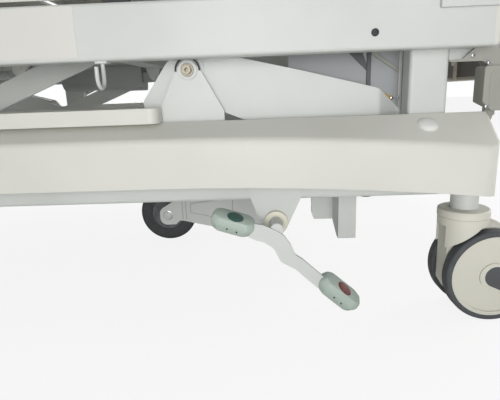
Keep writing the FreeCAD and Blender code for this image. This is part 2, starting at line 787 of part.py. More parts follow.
def corner_bumpers():
    # Soft corner buffers sit on pins that stand on bracket arms from the rails.
    wheels, arms = [], []
    bx = board_inner_x + board_thick + bumper_reach - bumper_r
    by = -bumper_y
    y0 = -rail_half_width
    for end, _ in ends:
        root = rail_x1 if end > 0 else -rail_x0
        points = [(end * (root - 80), y0), (end * (root - 80), y0 - 8), (end * (root + 8), y0 - 8),
                  (end * bx, by - 12), (end * (bx + 12), by), (end * bx, by + 12), (end * (root + 12), y0)]
        for side, _ in sides:
            arm = plate_xy(points, [0, 0, 6, 10, 8, 10, 4], bumper_z - 22, bumper_z - seat)
            pin = upright(end * bx, by, bumper_z - seat, bumper_z + bumper_h + 2, bumper_pin_r)
            arms.append(on_side(joined([arm, pin]), side))
            wheel = upright(end * bx, by, bumper_z, bumper_z + bumper_h, bumper_r, bumper_pin_r)
            wheels.append(on_side(wheel.makeFillet(4.0, circles(wheel, bumper_r)), side))
    export("corner_bumpers", *wheels)
    return arms


def end_brackets():
    # Stubs from the frame carry the board sockets, the bumper pins and the pole sockets.
    parts = []
    for end, _ in ends:
        socket_x = end * (board_inner_x - board_peg_inset)
        cross_x = lift_pivot_x + lift_post_dx if end > 0 else rail_x0 + foot_cross_inset
        start = cross_x + end * cross_w / 2
        r = board_peg_r + fit + board_socket_wall
        for side, _ in sides:
            y = side * board_peg_y
            stub = tube_x(min(start, socket_x - end * (r - 1)), max(start, socket_x - end * (r - 1)),
                          y - 15, y + 15, cross_z + 4, cross_z + 34, 2.5, 4.0)
            sleeve = upright(socket_x, y, board_socket_z0, board_socket_z1, r, board_peg_r + fit)
            stub = stub.cut(upright(socket_x, y, 400, 500, r))
            parts += [stub, sleeve]
            if end > 0:
                outer = side * (board_peg_y + 15)
                block = box(pole_x - 14, pole_x + 14, outer, outer + side * 28, cross_z, cross_z + 52)
                block = block.cut(upright(pole_x, outer + side * 14, cross_z + 6, cross_z + 60, pole_bore_r))
                parts.append(block)
    export("end_brackets", *(parts + corner_bumpers()))


def junction_box():
    y0, y1 = -box_y0, -box_y0 + box_depth
    shell = plate_xz([(box_x0, box_high_z), (box_x1, box_high_z), (box_x1, box_low_z), (box_x0 + 14, box_low_z),
                      (box_x0, box_low_z + 14)], [5, 5, 5, 3, 3], y0, y1)
    rims = [g for g in shell.Edges if abs(g.CenterOfMass.y - y0) < 1e-3]
    shell = shell.makeFillet(2.0, rims)
    # The underside slopes up towards the back.
    shell = shell.cut(plate_yz([(y0 + 3, box_low_z), (y1 + 1, box_low_z + box_slope), (y1 + 1, box_low_z - 9),
                                (y0 + 3, box_low_z - 9)], 0, box_x0 - 1, box_x1 + 1))
    flange = plate_xz([(902, box_high_z + 7), (902, box_high_z + 10), (921, box_high_z + 11), (939, rail_z),
                       (box_x1 - 8, rail_z), (box_x1 - 8, box_high_z), (box_x0 + 6, box_high_z),
                       (box_x0 - 2, box_high_z + 7)], [1, 2, 4, 2, 4, 0, 0, 5], y0 + 4, y0 + 8)
    y = y0 + box_depth / 2
    nut = upright(gland_x, y, box_low_z - 5, box_low_z + 12, gland_r)
    cone = Part.makeCone(4.8, gland_r - 1, 10.0, V(gland_x, y, box_low_z - 15), V(0, 0, 1))
    gland = joined([nut, cone]).cut(shell)
    export("junction_box", shell, flange)
    grommet = upright(grommet_x, -board_peg_y, cross_z - 6, cross_z + 4, cable_r + 4)
    export("box_glands", gland, grommet)


def cable():
    # A slack cable from the gland of the junction box to a grommet below the frame stub.
    x, y, z = gland_x, -box_y0 + box_depth / 2, box_low_z - 15
    turns = [(0, 1, -20), (5, 16, -37), (14, 38, -36), (21, 52, -16), (23, 55, 16), (24, 59, 53)]
    route = [V(x, y, z)] + [V(x + dx, y + dy, z + dz) for dx, dy, dz in turns]
    route += [V(grommet_x - 1, -board_peg_y - 25, cross_z - 46), V(grommet_x, -board_peg_y, cross_z - 26),
              V(grommet_x, -board_peg_y, cross_z - 6)]
    edges = []
    last = route[0]
    for i in range(1, len(route) - 1):
        back, ahead = route[i - 1] - route[i], route[i + 1] - route[i]
        shorter = min(back.Length, ahead.Length)
        turn = math.pi - back.getAngle(ahead)
        radius = 0.45 * shorter / math.tan(turn / 2.0)
        print("cable radius %.1f mm" % radius)
        into = route[i] + back.normalize() * (0.45 * shorter)
        out = route[i] + ahead.normalize() * (0.45 * shorter)
        middle = (back + ahead).normalize() * (radius / math.cos(turn / 2.0) - radius)
        edges.append(Part.LineSegment(last, into).toShape())
        edges.append(Part.Arc(into, route[i] + middle, out).toShape())
        last = out
    edges.append(Part.LineSegment(last, route[-1]).toShape())
    path = Part.Wire(edges)
    ring = Part.Wire(Part.makeCircle(cable_r, route[0], route[1] - route[0]))
    export("box_cable", path.makePipeShell([ring], True, False))


# Mattress deck

def section(x0, x1, ribs):
    # A moulded deck section: skin with vent slots, rim and stiffening ribs below.
    z1 = deck_z + deck_thick
    outer = plate_xy(rect(x0, x1, -deck_half_width, deck_half_width), 22, deck_z, z1)
    wall = 4.0
    inner = plate_xy(rect(x0 + wall, x1 - wall, -deck_half_width + wall, deck_half_width - wall), 18,
                     deck_z - 1, z1 - deck_skin)
    shell = outer.cut(inner)
    for i in range(1, ribs + 1):
        x = x0 + (x1 - x0) * i / (ribs + 1)
        shell = shell.fuse(box(x - 2, x + 2, -deck_half_width + wall, deck_half_width - wall, deck_z + 4,
                               z1 - deck_skin))
    rows = ribs + 1
    step = (x1 - x0) / rows
    for i in range(rows):
        x = x0 + step * (i + 0.5)
        for y in (-270.0, 0.0, 270.0):
            slot = plate_xy(rect(x - 9, x + 9, y - 90, y + 90), 8.9, z1 - deck_skin - 1, z1 + 1)
            shell = shell.cut(slot)
    return shell


def eyes(hinge_x, edge_x, ys, turning):
    # Hinge eyes on a section's rim; the moving ones turn on the tube that the other ones hold.
    z = deck_z + deck_thick / 2
    parts = []
    for y in ys:
        bore = hinge_tube_r + (fit if turning else 0.0)
        ring = along_y(hinge_x, z, y - 12, y + 12, hinge_eye_r)
        web = box(hinge_x, edge_x, y - 12, y + 12, z - 9, z + 9)
        parts.append(joined([ring, web]).cut(along_y(hinge_x, z, y - 20, y + 20, bore)))
    return parts


def deck():
    z = deck_z + deck_thick / 2
    g = hinge_gap
    end = deck_half_width
    seat_section = section(thigh_hinge_x + g, back_hinge_x - g, 1)
    for x, y, way in ((back_hinge_x, -deck_actuator_y, -1.0), (thigh_hinge_x, deck_actuator_y, 1.0)):
        reach = lever_gap + lever_plate_thick + 4
        room = box(x + way * (g - 1), x + way * (g + 22), y - reach, y + reach, deck_z - 5, deck_z + deck_thick + 5)
        seat_section = seat_section.cut(room)
    parts = [seat_section]
    fixed = (-380.0, -200.0, 200.0, 380.0)
    moving = (-340.0, -60.0, 60.0, 340.0)
    parts += eyes(back_hinge_x, back_hinge_x - g, fixed, False)
    parts += eyes(thigh_hinge_x, thigh_hinge_x + g, fixed, False)
    for x in (back_hinge_x, thigh_hinge_x):
        parts.append(along_y(x, z, -end + 10, end - 10, hinge_tube_r, hinge_tube_r - 2.5))
    export("seat_deck", *parts)
    back = [section(back_hinge_x + g, back_end_x, 5)] + eyes(back_hinge_x, back_hinge_x + g, moving, True)
    back += deck_levers(back_hinge_x, back_lever_start, -deck_actuator_y, 1.0)
    export("back_deck", *back)
    thigh = [section(calf_hinge_x + g, thigh_hinge_x - g, 2)]
    thigh += eyes(thigh_hinge_x, thigh_hinge_x - g, moving, True)
    thigh += eyes(calf_hinge_x, calf_hinge_x + g, fixed, False)
    thigh.append(along_y(calf_hinge_x, z, -end + 10, end - 10, hinge_tube_r, hinge_tube_r - 2.5))
    thigh += deck_levers(thigh_hinge_x, knee_lever_start, deck_actuator_y, -1.0)
    export("thigh_deck", *thigh)
    calf = [section(calf_end_x, calf_hinge_x - g, 3)]
    calf += eyes(calf_hinge_x, calf_hinge_x - g, moving, True)
    export("calf_deck", *calf)
    pads = []
    for x in (back_hinge_x - deck_rest_inset, thigh_hinge_x + deck_rest_inset):
        for side, _ in sides:
            pads.append(on_side(box(x - 25, x + 25, -deck_half_width, -deck_half_width + 30,
                                    rail_z + rail_h, deck_z), side))
    for x in (back_end_x - 50, back_hinge_x + 250, calf_end_x + deck_rest_inset):
        for side, _ in sides:
            pads.append(on_side(box(x - 20, x + 20, -deck_half_width + 2, -deck_half_width + 14,
                                    rail_z + rail_h, deck_z - seat), side))
    export("deck_rests", *pads)


def deck_levers(hinge_x, start, y, way):
    # Twin lever plates below the hinge take the push of an actuator.
    z = deck_z + deck_thick / 2
    tip = lever_tip(hinge_x, z, lever_length, start)
    parts = []
    for y0 in (y - lever_gap - lever_plate_thick, y + lever_gap):
        plate = lever_plate(hinge_x, z, tip, y0, lever_plate_thick, hinge_eye_r)
        web = box(hinge_x, hinge_x + way * (hinge_gap + 8), y0, y0 + lever_plate_thick, z - 13, z + 9)
        skin_room = box(hinge_x + way * hinge_gap, hinge_x + way * (hinge_gap + 9), y0 - 1,
                        y0 + lever_plate_thick + 1, z - 40, z + 20)
        plate = joined([plate, web.cut(skin_room)])
        parts.append(plate.cut(along_y(hinge_x, z, y0 - 1, y0 + lever_plate_thick + 1, hinge_tube_r + fit)))
    reach = lever_gap + lever_plate_thick
    parts.append(along_y(tip.x, tip.z, y - reach - 3, y + reach + 3, lever_pin_r))
    return parts


# Side guards

def spread(x0, x1, count):
    return [x0 + (x1 - x0) * i / (count - 1) for i in range(count)]


def guards():
    # Each guard hangs on arms that swing out and down about one long axis.
    bases = []
    for side, name in sides:
        y = -guard_y
        low = rail_z + rail_h
        pivot_z = low + guard_pivot_rise
        top_z = pivot_z + guard_arm
        half = guard_arm_d / 2
        arms = []
        for x in spread(guard_arm_x0, guard_arm_x1, guard_arms):
            foot = box(x - 16, x + 16, y + half + 2, y + 44, low, low + 4)
            ears = []
            for hand in (-1.0, 1.0):
                x0, x1 = sorted((x + hand * (guard_arm_w / 2 + 1), x + hand * (guard_arm_w / 2 + 7)))
                ears.append(plate_yz([(y - 9, low + 6), (y - 9, pivot_z + 9), (y + 24, pivot_z + 9), (y + 40, low),
                                      (y + half + 2, low)], [4, 7, 6, 0, 0], x0, x1))
            reach = guard_arm_w / 2 + 9
            base_pin = rod(V(x - reach, y, pivot_z), V(x + reach, y, pivot_z), guard_pin_r)
            bases.append(on_side(joined([foot, base_pin] + ears), side))
            arm = plate_yz(rect(y - half, y + half, pivot_z - half, top_z + half), half - 0.01,
                           x - guard_arm_w / 2, x + guard_arm_w / 2)
            for z in (pivot_z, top_z):
                arm = arm.cut(rod(V(x - 20, y, z), V(x + 20, y, z), guard_pin_r + fit))
            arms.append(arm)
        runs = spread(guard_arm_x0, guard_arm_x1, guard_arms)
        for x0, x1 in zip(runs[:-1], runs[1:]):
            z = pivot_z + guard_arm / 2
            arms.append(rod(V(x0 + guard_arm_w / 2, y, z), V(x1 - guard_arm_w / 2, y, z), 6.0))
        export("guard_arms_" + name, *[on_side(p, side) for p in arms])
        export("guard_panel_" + name, *[on_side(p, side) for p in guard_panel(y, top_z)])
    export("guard_bases", *bases)


def guard_panel(y, pivot_z):
    outer = y - 29.0
    inner = outer + guard_bar_w
    centre = (outer + inner) / 2
    parts = [plate_yz(rect(outer, inner, guard_top_z - guard_bar_h, guard_top_z), 8.9, guard_x0, guard_x1),
             plate_yz(rect(outer, inner, guard_low_z, guard_low_z + 24), 6, guard_x0 + 20, guard_x1 - 20)]
    for x in spread(guard_x0 + 40, guard_x1 - 40, guard_posts):
        parts.append(upright(x, centre, guard_low_z + 24, guard_top_z - guard_bar_h, guard_post_r))
    strip_y = centre + guard_post_r
    parts.append(box(guard_x0 + 20, guard_x1 - 20, strip_y, y - 9, pivot_z - 10, pivot_z + 10))
    for x in spread(guard_arm_x0, guard_arm_x1, guard_arms):
        lugs = []
        for hand in (-1.0, 1.0):
            x0, x1 = sorted((x + hand * (guard_arm_w / 2 + 1), x + hand * (guard_arm_w / 2 + 7)))
            lugs.append(plate_yz(rect(y - 9, y + 8, pivot_z - 10, pivot_z + 10), [0, 7, 7, 0], x0, x1))
        reach = guard_arm_w / 2 + 9
        pin = rod(V(x - reach, y, pivot_z), V(x + reach, y, pivot_z), guard_pin_r)
        parts.append(joined(lugs + [pin]))
    return parts


# End boards

def end_board(end):
    x0 = end * board_inner_x
    x1 = end * (board_inner_x + board_thick)
    w = board_half_width
    points = [(-w, board_low_z), (w, board_low_z), (w, board_top_z), (-w, board_top_z)]
    board = plate_yz(points, [24, 24, board_corner_r, board_corner_r], min(x0, x1), max(x0, x1))
    faces = [g for g in board.Edges if g.BoundBox.XLength < 1e-6]
    board = board.makeFillet(5.0, faces)
    b = board_border
    recess = [(-w + b, board_low_z + b), (w - b, board_low_z + b), (w - b, board_top_z - 90),
              (-w + b, board_top_z - 90)]
    for x in (x0, x1):
        inward = x0 + x1 - x
        sign = 1.0 if inward > x else -1.0
        cut = plate_yz(recess, 16, min(x, x + sign * 3.0), max(x, x + sign * 3.0))
        board = board.cut(cut)
    slot = plate_yz(rect(-75, 75, board_top_z - 66, board_top_z - 32), 16.9, min(x0, x1) - 1, max(x0, x1) + 1)
    board = board.cut(slot)
    pegs = []
    px = end * (board_inner_x - board_peg_inset)
    for side, _ in sides:
        y = side * board_peg_y
        block = box(px - 14, px + 14, y - 16, y + 16, board_socket_z1 + seat, board_socket_z1 + 30)
        bridge = box(px, end * (board_inner_x + 3), y - 16, y + 16, board_socket_z1 + seat, board_socket_z1 + 30)
        peg = upright(px, y, board_socket_z0 + 6, board_socket_z1 + seat, board_peg_r)
        pegs.append(joined([block, bridge, peg]))
    return [board] + pegs


def end_boards():
    export("head_board", *end_board(1.0))
    export("foot_board", *end_board(-1.0))


# Brake shaft and pedals

def brake():
    z1 = base_tube_z + base_tube_h
    x, z = shaft_x, shaft_z
    y_face = -base_tube_y - base_tube_w / 2
    y_out = y_face - brake_plate_thick
    plates = []
    for side, _ in sides:
        points = [(x - 43, z1 - 23), (x - 43, z + 49), (x - 24, z - 4), (x + 14, z - 19), (x + 42.5, z + 43),
                  (x + 42.5, z1 - 23)]
        plate = plate_xz(points, [2, 8, 8, 12, 6, 2], y_out, y_face, [(x, z, bushing_r)])
        bushing = joined([along_y(x, z, y_out, y_face + 9, bushing_r),
                          along_y(x, z, y_out - bushing_flange, y_out, bushing_flange_r)])
        bushing = bushing.cut(along_y(x, z, y_out - 20, y_face + 20, shaft_r + fit))
        plates += [on_side(plate, side), on_side(bushing, side)]
    export("brake_plates", *plates)
    reach = pedal_y0 - pedal_thick
    shaft = along_y(x, z, -reach, reach, shaft_r)
    # The nose of the cam points down and holds the fifth wheel arm on the floor.
    nose_z = fifth_bridge_z + fifth_cam_slack + cam_nose_r
    cam = lever_plate(x, z, V(x, 0, nose_z), -5, 10.0, cam_nose_r)
    cam = cam.cut(along_y(x, z, -20, 20, shaft_r))
    export("brake_shaft", shaft, cam)
    greens, reds, levers = [], [], []
    for side, _ in sides:
        lever = pedal_lever()
        green, red = pad(x - 67, z + 18, -15.0), pad(x + 94, z - 102, -41.0)
        levers.append(on_side(lever, side))
        greens.append(on_side(green.cut(lever), side))
        reds.append(on_side(red.cut(lever), side))
    export("pedal_levers", *levers)
    export("pedal_pads_green", *greens)
    export("pedal_pads_red", *reds)


def pedal_lever():
    # A bent flat bar with a narrower tongue inside each pad.
    line = [(-62, 24), (-48, 17), (-37.2, 12.9), (-20.5, 9.6), (-1.9, 0.7), (10, -6.8), (20.6, -22.7),
            (27.1, -38.7), (38, -46.3), (70, -75.8), (78, -83), (98, -101), (92, -108), (66, -88),
            (61.1, -94.3), (26.9, -62.1), (5.2, -49.8), (-5.3, -27.8), (-19.9, -17.3), (-32, -14.1),
            (-43.3, -8.1), (-50, 8), (-66, 15)]
    rounds = [0, 0, 0, 12, 16, 16, 16, 8, 20, 0, 0, 2, 2, 0, 0, 14, 12, 16, 10, 12, 2, 2, 2]
    points = [(shaft_x + dx, shaft_z + dz) for dx, dz in line]
    return plate_xz(points, rounds, -pedal_y0, -pedal_y0 + pedal_thick)


def pad(x, z, angle):
    # A soft block with bevelled ends, turned with the lever and tipped a little outwards.
    a, c = pad_length / 2, pad_thick / 2
    half = pad_width / 2
    points = [(-a, -c + 6), (-a, c - 6), (-a + 7, c), (a - 7, c), (a, c - 6), (a, -c + 6), (a - 7, -c),
              (-a + 7, -c)]
    block = plate_xz(points, 2.0, -half, half)
    rims = [g for g in block.Edges if abs(abs(g.CenterOfMass.y) - half) < 1e-3]
    block = block.makeFillet(3.0, rims)
    block.rotate(V(0, 0, 0), V(1, 0, 0), pad_tilt)
    block.rotate(V(0, 0, 0), V(0, 1, 0), -angle)
    block.translate(V(x, -pedal_y0 + pad_in, z))
    return block


# Fifth wheel

def fifth_wheel():
    px, pz = fifth_pivot_x, fifth_pivot_z
    x, z = fifth_x, fifth_z
    hub_y = fifth_fork_y + 1.0
    hub = along_y(px, pz, -hub_y, hub_y, 15.0, fifth_pin_r + fit)
    points = [(x - 18, z - 27), (x - 18, z + 13), (x + 75, z + 69), (px - 35, z + 69), (px - 17, pz + 16),
              (px + 17, pz + 16), (px + 17, pz - 13), (px - 84, z - 38), (x + 120, z - 35), (x + 74, z - 25),
              (x + 47, z - 18), (x + 33, z - 16), (x + 22, z - 26)]
    rounds = [18, 16, 20, 8, 14, 14, 14, 18, 60, 60, 5, 5, 4]
    parts = [hub]
    for hand in (-1.0, 1.0):
        y0 = hand * fifth_fork_y
        y1 = hand * (fifth_fork_y - fifth_plate)
        parts.append(plate_xz(points, rounds, y0, y1, [(px, pz, 15.0)]))
    inner = fifth_fork_y - fifth_plate
    parts.append(box(x + 118, px - 33, -inner, inner, fifth_bridge_z - 4, fifth_bridge_z))
    parts.append(along_y(x, z, -inner, inner, 7.0))
    export("fifth_arm", *parts)
    half = fifth_wheel_w / 2
    rim_r = fifth_r - fifth_tyre_thick
    rim = along_y(x, z, -half, half, rim_r)
    for hand in (-1.0, 1.0):
        rim = rim.cut(along_y(x, z, hand * (half - 8), hand * (half + 1), rim_r - 6, 18.0))
    hub = along_y(x, z, -inner + 0.5, inner - 0.5, 14.0)
    rim = joined([rim, hub]).cut(along_y(x, z, -inner - 1, inner + 1, 7.0 + fit))
    tyre = along_y(x, z, -half, half, fifth_r, rim_r)
    tyre = tyre.makeFillet(9.0, circles(tyre, fifth_r))
    export("fifth_rim", rim)
    export("fifth_tyre", tyre)


base_frame()
caster_stems()
base_brackets()
casters()
covers()
lift_brackets()
lift_arms()
upper_frame()
posts()
hooks()
end_brackets()
junction_box()
cable()
deck()
guards()
end_boards()
brake()
fifth_wheel()
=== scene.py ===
import math

import bmesh
import bpy
from mathutils import Matrix, Vector


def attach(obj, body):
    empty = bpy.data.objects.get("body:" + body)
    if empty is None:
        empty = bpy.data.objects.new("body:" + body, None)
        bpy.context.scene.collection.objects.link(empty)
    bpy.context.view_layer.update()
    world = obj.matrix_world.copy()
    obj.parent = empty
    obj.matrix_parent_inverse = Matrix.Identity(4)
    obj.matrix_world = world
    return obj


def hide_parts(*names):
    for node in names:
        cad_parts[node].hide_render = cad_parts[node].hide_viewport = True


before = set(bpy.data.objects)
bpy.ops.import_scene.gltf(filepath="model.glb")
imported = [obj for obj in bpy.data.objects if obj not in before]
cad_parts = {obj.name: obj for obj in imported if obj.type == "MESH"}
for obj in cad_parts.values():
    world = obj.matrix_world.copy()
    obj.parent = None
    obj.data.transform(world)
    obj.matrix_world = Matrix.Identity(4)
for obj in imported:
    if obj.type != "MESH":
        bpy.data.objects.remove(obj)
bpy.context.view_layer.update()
mm = 0.001  # sizes below are in millimetres, the scene is in metres

print("electric hospital bed: frame loaded")


# Small tools

def srgb(hexText):
    # one sRGB hex value to Blender's linear colour
    parts = [int(hexText[i:i + 2], 16) / 255 for i in (1, 3, 5)]
    linear = [c / 12.92 if c <= 0.04045 else ((c + 0.055) / 1.055) ** 2.4 for c in parts]
    return (*linear, 1.0)


def addNode(tree, kind, settings=None, links=None):
    # settings: sockets or attributes by name; links: socket name to another node's output
    node = tree.nodes.new(kind)
    for key, value in (settings or {}).items():
        if key in node.inputs:
            node.inputs[key].default_value = value
        else:
            setattr(node, key, value)
    for key, output in (links or {}).items():
        tree.links.new(output, node.inputs[key])
    return node


def newMaterial(name, colour, roughness, metallic=0.0, ior=1.5, coat=0.0):
    mat = bpy.data.materials.new(name)
    mat.use_nodes = True
    tree = mat.node_tree
    tree.nodes.clear()
    shader = addNode(tree, "ShaderNodeBsdfPrincipled",
                     {"Base Color": srgb(colour), "Roughness": roughness, "Metallic": metallic})
    if metallic < 0.5:
        shader.inputs["IOR"].default_value = ior
    shader.inputs["Coat Weight"].default_value = coat
    addNode(tree, "ShaderNodeOutputMaterial", {}, {"Surface": shader.outputs["BSDF"]})
    coords = addNode(tree, "ShaderNodeTexCoord")
    return mat, tree, shader, coords.outputs["Object"]


def colourDrift(tree, shader, where, colourA, colourB, sizeMm, detail=3.0):
    # a slow drift between two close colours, sizeMm across
    noise = addNode(tree, "ShaderNodeTexNoise", {"Scale": 1000 / sizeMm, "Detail": detail},
                    {"Vector": where})
    ramp = addNode(tree, "ShaderNodeValToRGB", {}, {"Fac": noise.outputs["Fac"]})
    ramp.color_ramp.elements[0].position = 0.35
    ramp.color_ramp.elements[1].position = 0.65
    ramp.color_ramp.elements[0].color = srgb(colourA)
    ramp.color_ramp.elements[1].color = srgb(colourB)
    tree.links.new(ramp.outputs["Color"], shader.inputs["Base Color"])


def roughDrift(tree, shader, where, low, high, sizeMm):
    noise = addNode(tree, "ShaderNodeTexNoise", {"Scale": 1000 / sizeMm, "Detail": 4.0}, {"Vector": where})
    spread = addNode(tree, "ShaderNodeMapRange", {"To Min": low, "To Max": high},
                     {"Value": noise.outputs["Fac"]})
    tree.links.new(spread.outputs["Result"], shader.inputs["Roughness"])


def grain(tree, shader, where, sizeMm, heightMm, strength=0.3):
    # a fine bump with lumps sizeMm apart
    noise = addNode(tree, "ShaderNodeTexNoise", {"Scale": 1000 / sizeMm, "Detail": 2.0}, {"Vector": where})
    bump = addNode(tree, "ShaderNodeBump", {"Strength": strength, "Distance": heightMm * mm},
                   {"Height": noise.outputs["Fac"]})
    tree.links.new(bump.outputs["Normal"], shader.inputs["Normal"])


# Materials

print("materials")
finish = {
    "coatLight": "#d3d5d2", "coatDark": "#cccfcb", "coatRoughness": 0.42,
    "absLight": "#dcdcd5", "absDark": "#d6d6ce", "absRoughness": 0.46,
    "boxLight": "#a3a39b", "boxDark": "#9a9a92",
    "discLight": "#d8d6ca", "discDark": "#cecdc1",
    "tyre": "#45484b", "tyreWorn": "#4c4f52", "fifthTyre": "#37383a", "fifthRim": "#66676a",
    "fifthTyreWorn": "#414244", "fifthRimWorn": "#56575a",
    "hub": "#545558", "hubDark": "#4c4d50", "padLight": "#b4c2b8", "padDark": "#abb9af",
    "greenInsert": "#3b5f58", "greenDark": "#35574f", "redInsert": "#8c2628", "redDark": "#5a2b2a",
    "laminate": "#756f6a", "laminateDark": "#69635e", "boardEdge": "#cfc8b8", "boardDark": "#c6bfae",
    "zinc": "#a0a2a4", "zincDark": "#a8abae", "zincLight": "#bfc1c3", "bolt": "#817c70",
    "aluminium": "#a4a7aa", "motor": "#a9abaa", "motorDark": "#a1a3a2",
    "sheath": "#8c8d8a", "sheathWorn": "#969794", "black": "#2c2d2f", "blackWorn": "#333436",
    # seam and seamDark: a darker grey for thin lines, painted shade at panel borders and folds
    "buffer": "#8d8f90", "bufferWorn": "#979999", "seam": "#9c9e9d", "seamDark": "#929493",
    # panel and panelDark: a grey darker than the frame coat, painted shade on sheets and flanges under the
    # upper frame
    "panel": "#a9acae", "panelDark": "#a2a5a7", "brass": "#b8962e", "brassDark": "#a8872a",
    "nylon": "#e2decb", "nylonDark": "#dad5c0", "dome": "#e6e6e3", "domeDark": "#dfe0dc",
    "plate": "#dad9d4", "plateDark": "#d5d4ce",
}


def powderCoat():
    # epoxy powder coat on steel: satin off-white with a faint orange peel 2 mm across
    mat, tree, shader, where = newMaterial("powderCoat", finish["coatLight"], finish["coatRoughness"])
    colourDrift(tree, shader, where, finish["coatDark"], finish["coatLight"], 160)
    roughDrift(tree, shader, where, 0.36, 0.5, 45)
    grain(tree, shader, where, 2.2, 0.05, 0.25)
    return mat


def absShell(name, light, dark, grainMm=1.1):
    # moulded ABS: warm off-white, fine spark-eroded grain drawn about 1 mm coarse so that it shows
    mat, tree, shader, where = newMaterial(name, light, finish["absRoughness"])
    colourDrift(tree, shader, where, dark, light, 220)
    roughDrift(tree, shader, where, 0.4, 0.54, 60)
    grain(tree, shader, where, grainMm, 0.06, 0.22)
    return mat


def rubber(name, colour, worn, roughness=0.68):
    # thermoplastic rubber: matt grey with scuffs a few mm long
    mat, tree, shader, where = newMaterial(name, colour, roughness)
    colourDrift(tree, shader, where, colour, worn, 14, 6.0)
    roughDrift(tree, shader, where, roughness - 0.1, roughness + 0.12, 9)
    grain(tree, shader, where, 1.4, 0.08, 0.3)
    return mat


def platedSteel():
    # zinc plated steel: dull metal with a soft mottled crystal pattern about 6 mm across
    mat, tree, shader, where = newMaterial("platedSteel", finish["zinc"], 0.34, metallic=1.0)
    colourDrift(tree, shader, where, finish["zincDark"], finish["zincLight"], 6, 5.0)
    roughDrift(tree, shader, where, 0.26, 0.44, 12)
    return mat


def warmBolt():
    # yellow passivated steel: a dull warm grey that catches one soft highlight
    mat, tree, shader, where = newMaterial("passivatedBolt", finish["bolt"], 0.42, metallic=1.0)
    roughDrift(tree, shader, where, 0.36, 0.5, 6)
    return mat


def anodisedAluminium():
    # drawn and anodised aluminium: satin with fine die lines along X, 0.6 mm apart, drawn coarse
    mat, tree, shader, where = newMaterial("anodisedAluminium", finish["aluminium"], 0.3, metallic=1.0)
    stretch = addNode(tree, "ShaderNodeMapping", {"Scale": (4.0, 900.0, 900.0)}, {"Vector": where})
    lines = addNode(tree, "ShaderNodeTexNoise", {"Scale": 1.0, "Detail": 2.0},
                    {"Vector": stretch.outputs["Vector"]})
    spread = addNode(tree, "ShaderNodeMapRange", {"To Min": 0.24, "To Max": 0.4},
                     {"Value": lines.outputs["Fac"]})
    tree.links.new(spread.outputs["Result"], shader.inputs["Roughness"])
    return mat


def laminate():
    # dark brown laminate: fine straight grain, lines about 3 mm apart across and long in Z
    mat, tree, shader, where = newMaterial("laminate", finish["laminate"], 0.4)
    stretch = addNode(tree, "ShaderNodeMapping", {"Scale": (330.0, 330.0, 12.0)}, {"Vector": where})
    lines = addNode(tree, "ShaderNodeTexNoise", {"Scale": 1.0, "Detail": 4.0, "Distortion": 0.4},
                    {"Vector": stretch.outputs["Vector"]})
    ramp = addNode(tree, "ShaderNodeValToRGB", {}, {"Fac": lines.outputs["Fac"]})
    ramp.color_ramp.elements[0].position = 0.3
    ramp.color_ramp.elements[1].position = 0.75
    ramp.color_ramp.elements[0].color = srgb(finish["laminateDark"])
    ramp.color_ramp.elements[1].color = srgb(finish["laminate"])
    tree.links.new(ramp.outputs["Color"], shader.inputs["Base Color"])
    bump = addNode(tree, "ShaderNodeBump", {"Strength": 0.1, "Distance": 0.05 * mm},
                   {"Height": lines.outputs["Fac"]})
    tree.links.new(bump.outputs["Normal"], shader.inputs["Normal"])
    return mat


materials = {
    "coat": powderCoat(),
    "abs": absShell("absCover", finish["absLight"], finish["absDark"]),
    "box": absShell("absGrey", finish["boxLight"], finish["boxDark"]),
    "disc": absShell("nylonDisc", finish["discLight"], finish["discDark"], 1.6),
    "hub": absShell("nylonHub", finish["hub"], finish["hubDark"], 1.2),
    "pad": absShell("padAbs", finish["padLight"], finish["padDark"], 1.2),
    "green": absShell("greenInsert", finish["greenInsert"], finish["greenDark"], 1.0),
    "red": absShell("redInsert", finish["redInsert"], finish["redDark"], 1.0),
    "board": absShell("boardEdge", finish["boardEdge"], finish["boardDark"], 1.4),
    "motor": absShell("motorHousing", finish["motor"], finish["motorDark"], 1.2),
    "tyre": rubber("tyreRubber", finish["tyre"], finish["tyreWorn"]),
    "fifthTyre": rubber("fifthTyreRubber", finish["fifthTyre"], finish["fifthTyreWorn"]),
    "fifthRim": rubber("fifthRimNylon", finish["fifthRim"], finish["fifthRimWorn"], 0.55),
    "buffer": rubber("bufferRubber", finish["buffer"], finish["bufferWorn"], 0.6),
    "black": rubber("blackRubber", finish["black"], finish["blackWorn"], 0.6),
    "sheath": rubber("cableSheath", finish["sheath"], finish["sheathWorn"], 0.55),
    "zinc": platedSteel(),
    "aluminium": anodisedAluminium(),
    "laminate": laminate(),
    "bolt": warmBolt(),
    "seam": absShell("seamShade", finish["seam"], finish["seamDark"], 0.9),
    "panel": absShell("shadedFramePanel", finish["panel"], finish["panelDark"], 1.4),
    "brass": absShell("earthSleeve", finish["brass"], finish["brassDark"], 0.8),
    "nylon": absShell("nylonBushing", finish["nylon"], finish["nylonDark"], 1.3),
    "dome": absShell("domeCap", finish["dome"], finish["domeDark"], 1.0),
    "plate": absShell("barePlate", finish["plate"], finish["plateDark"], 0.9),
}

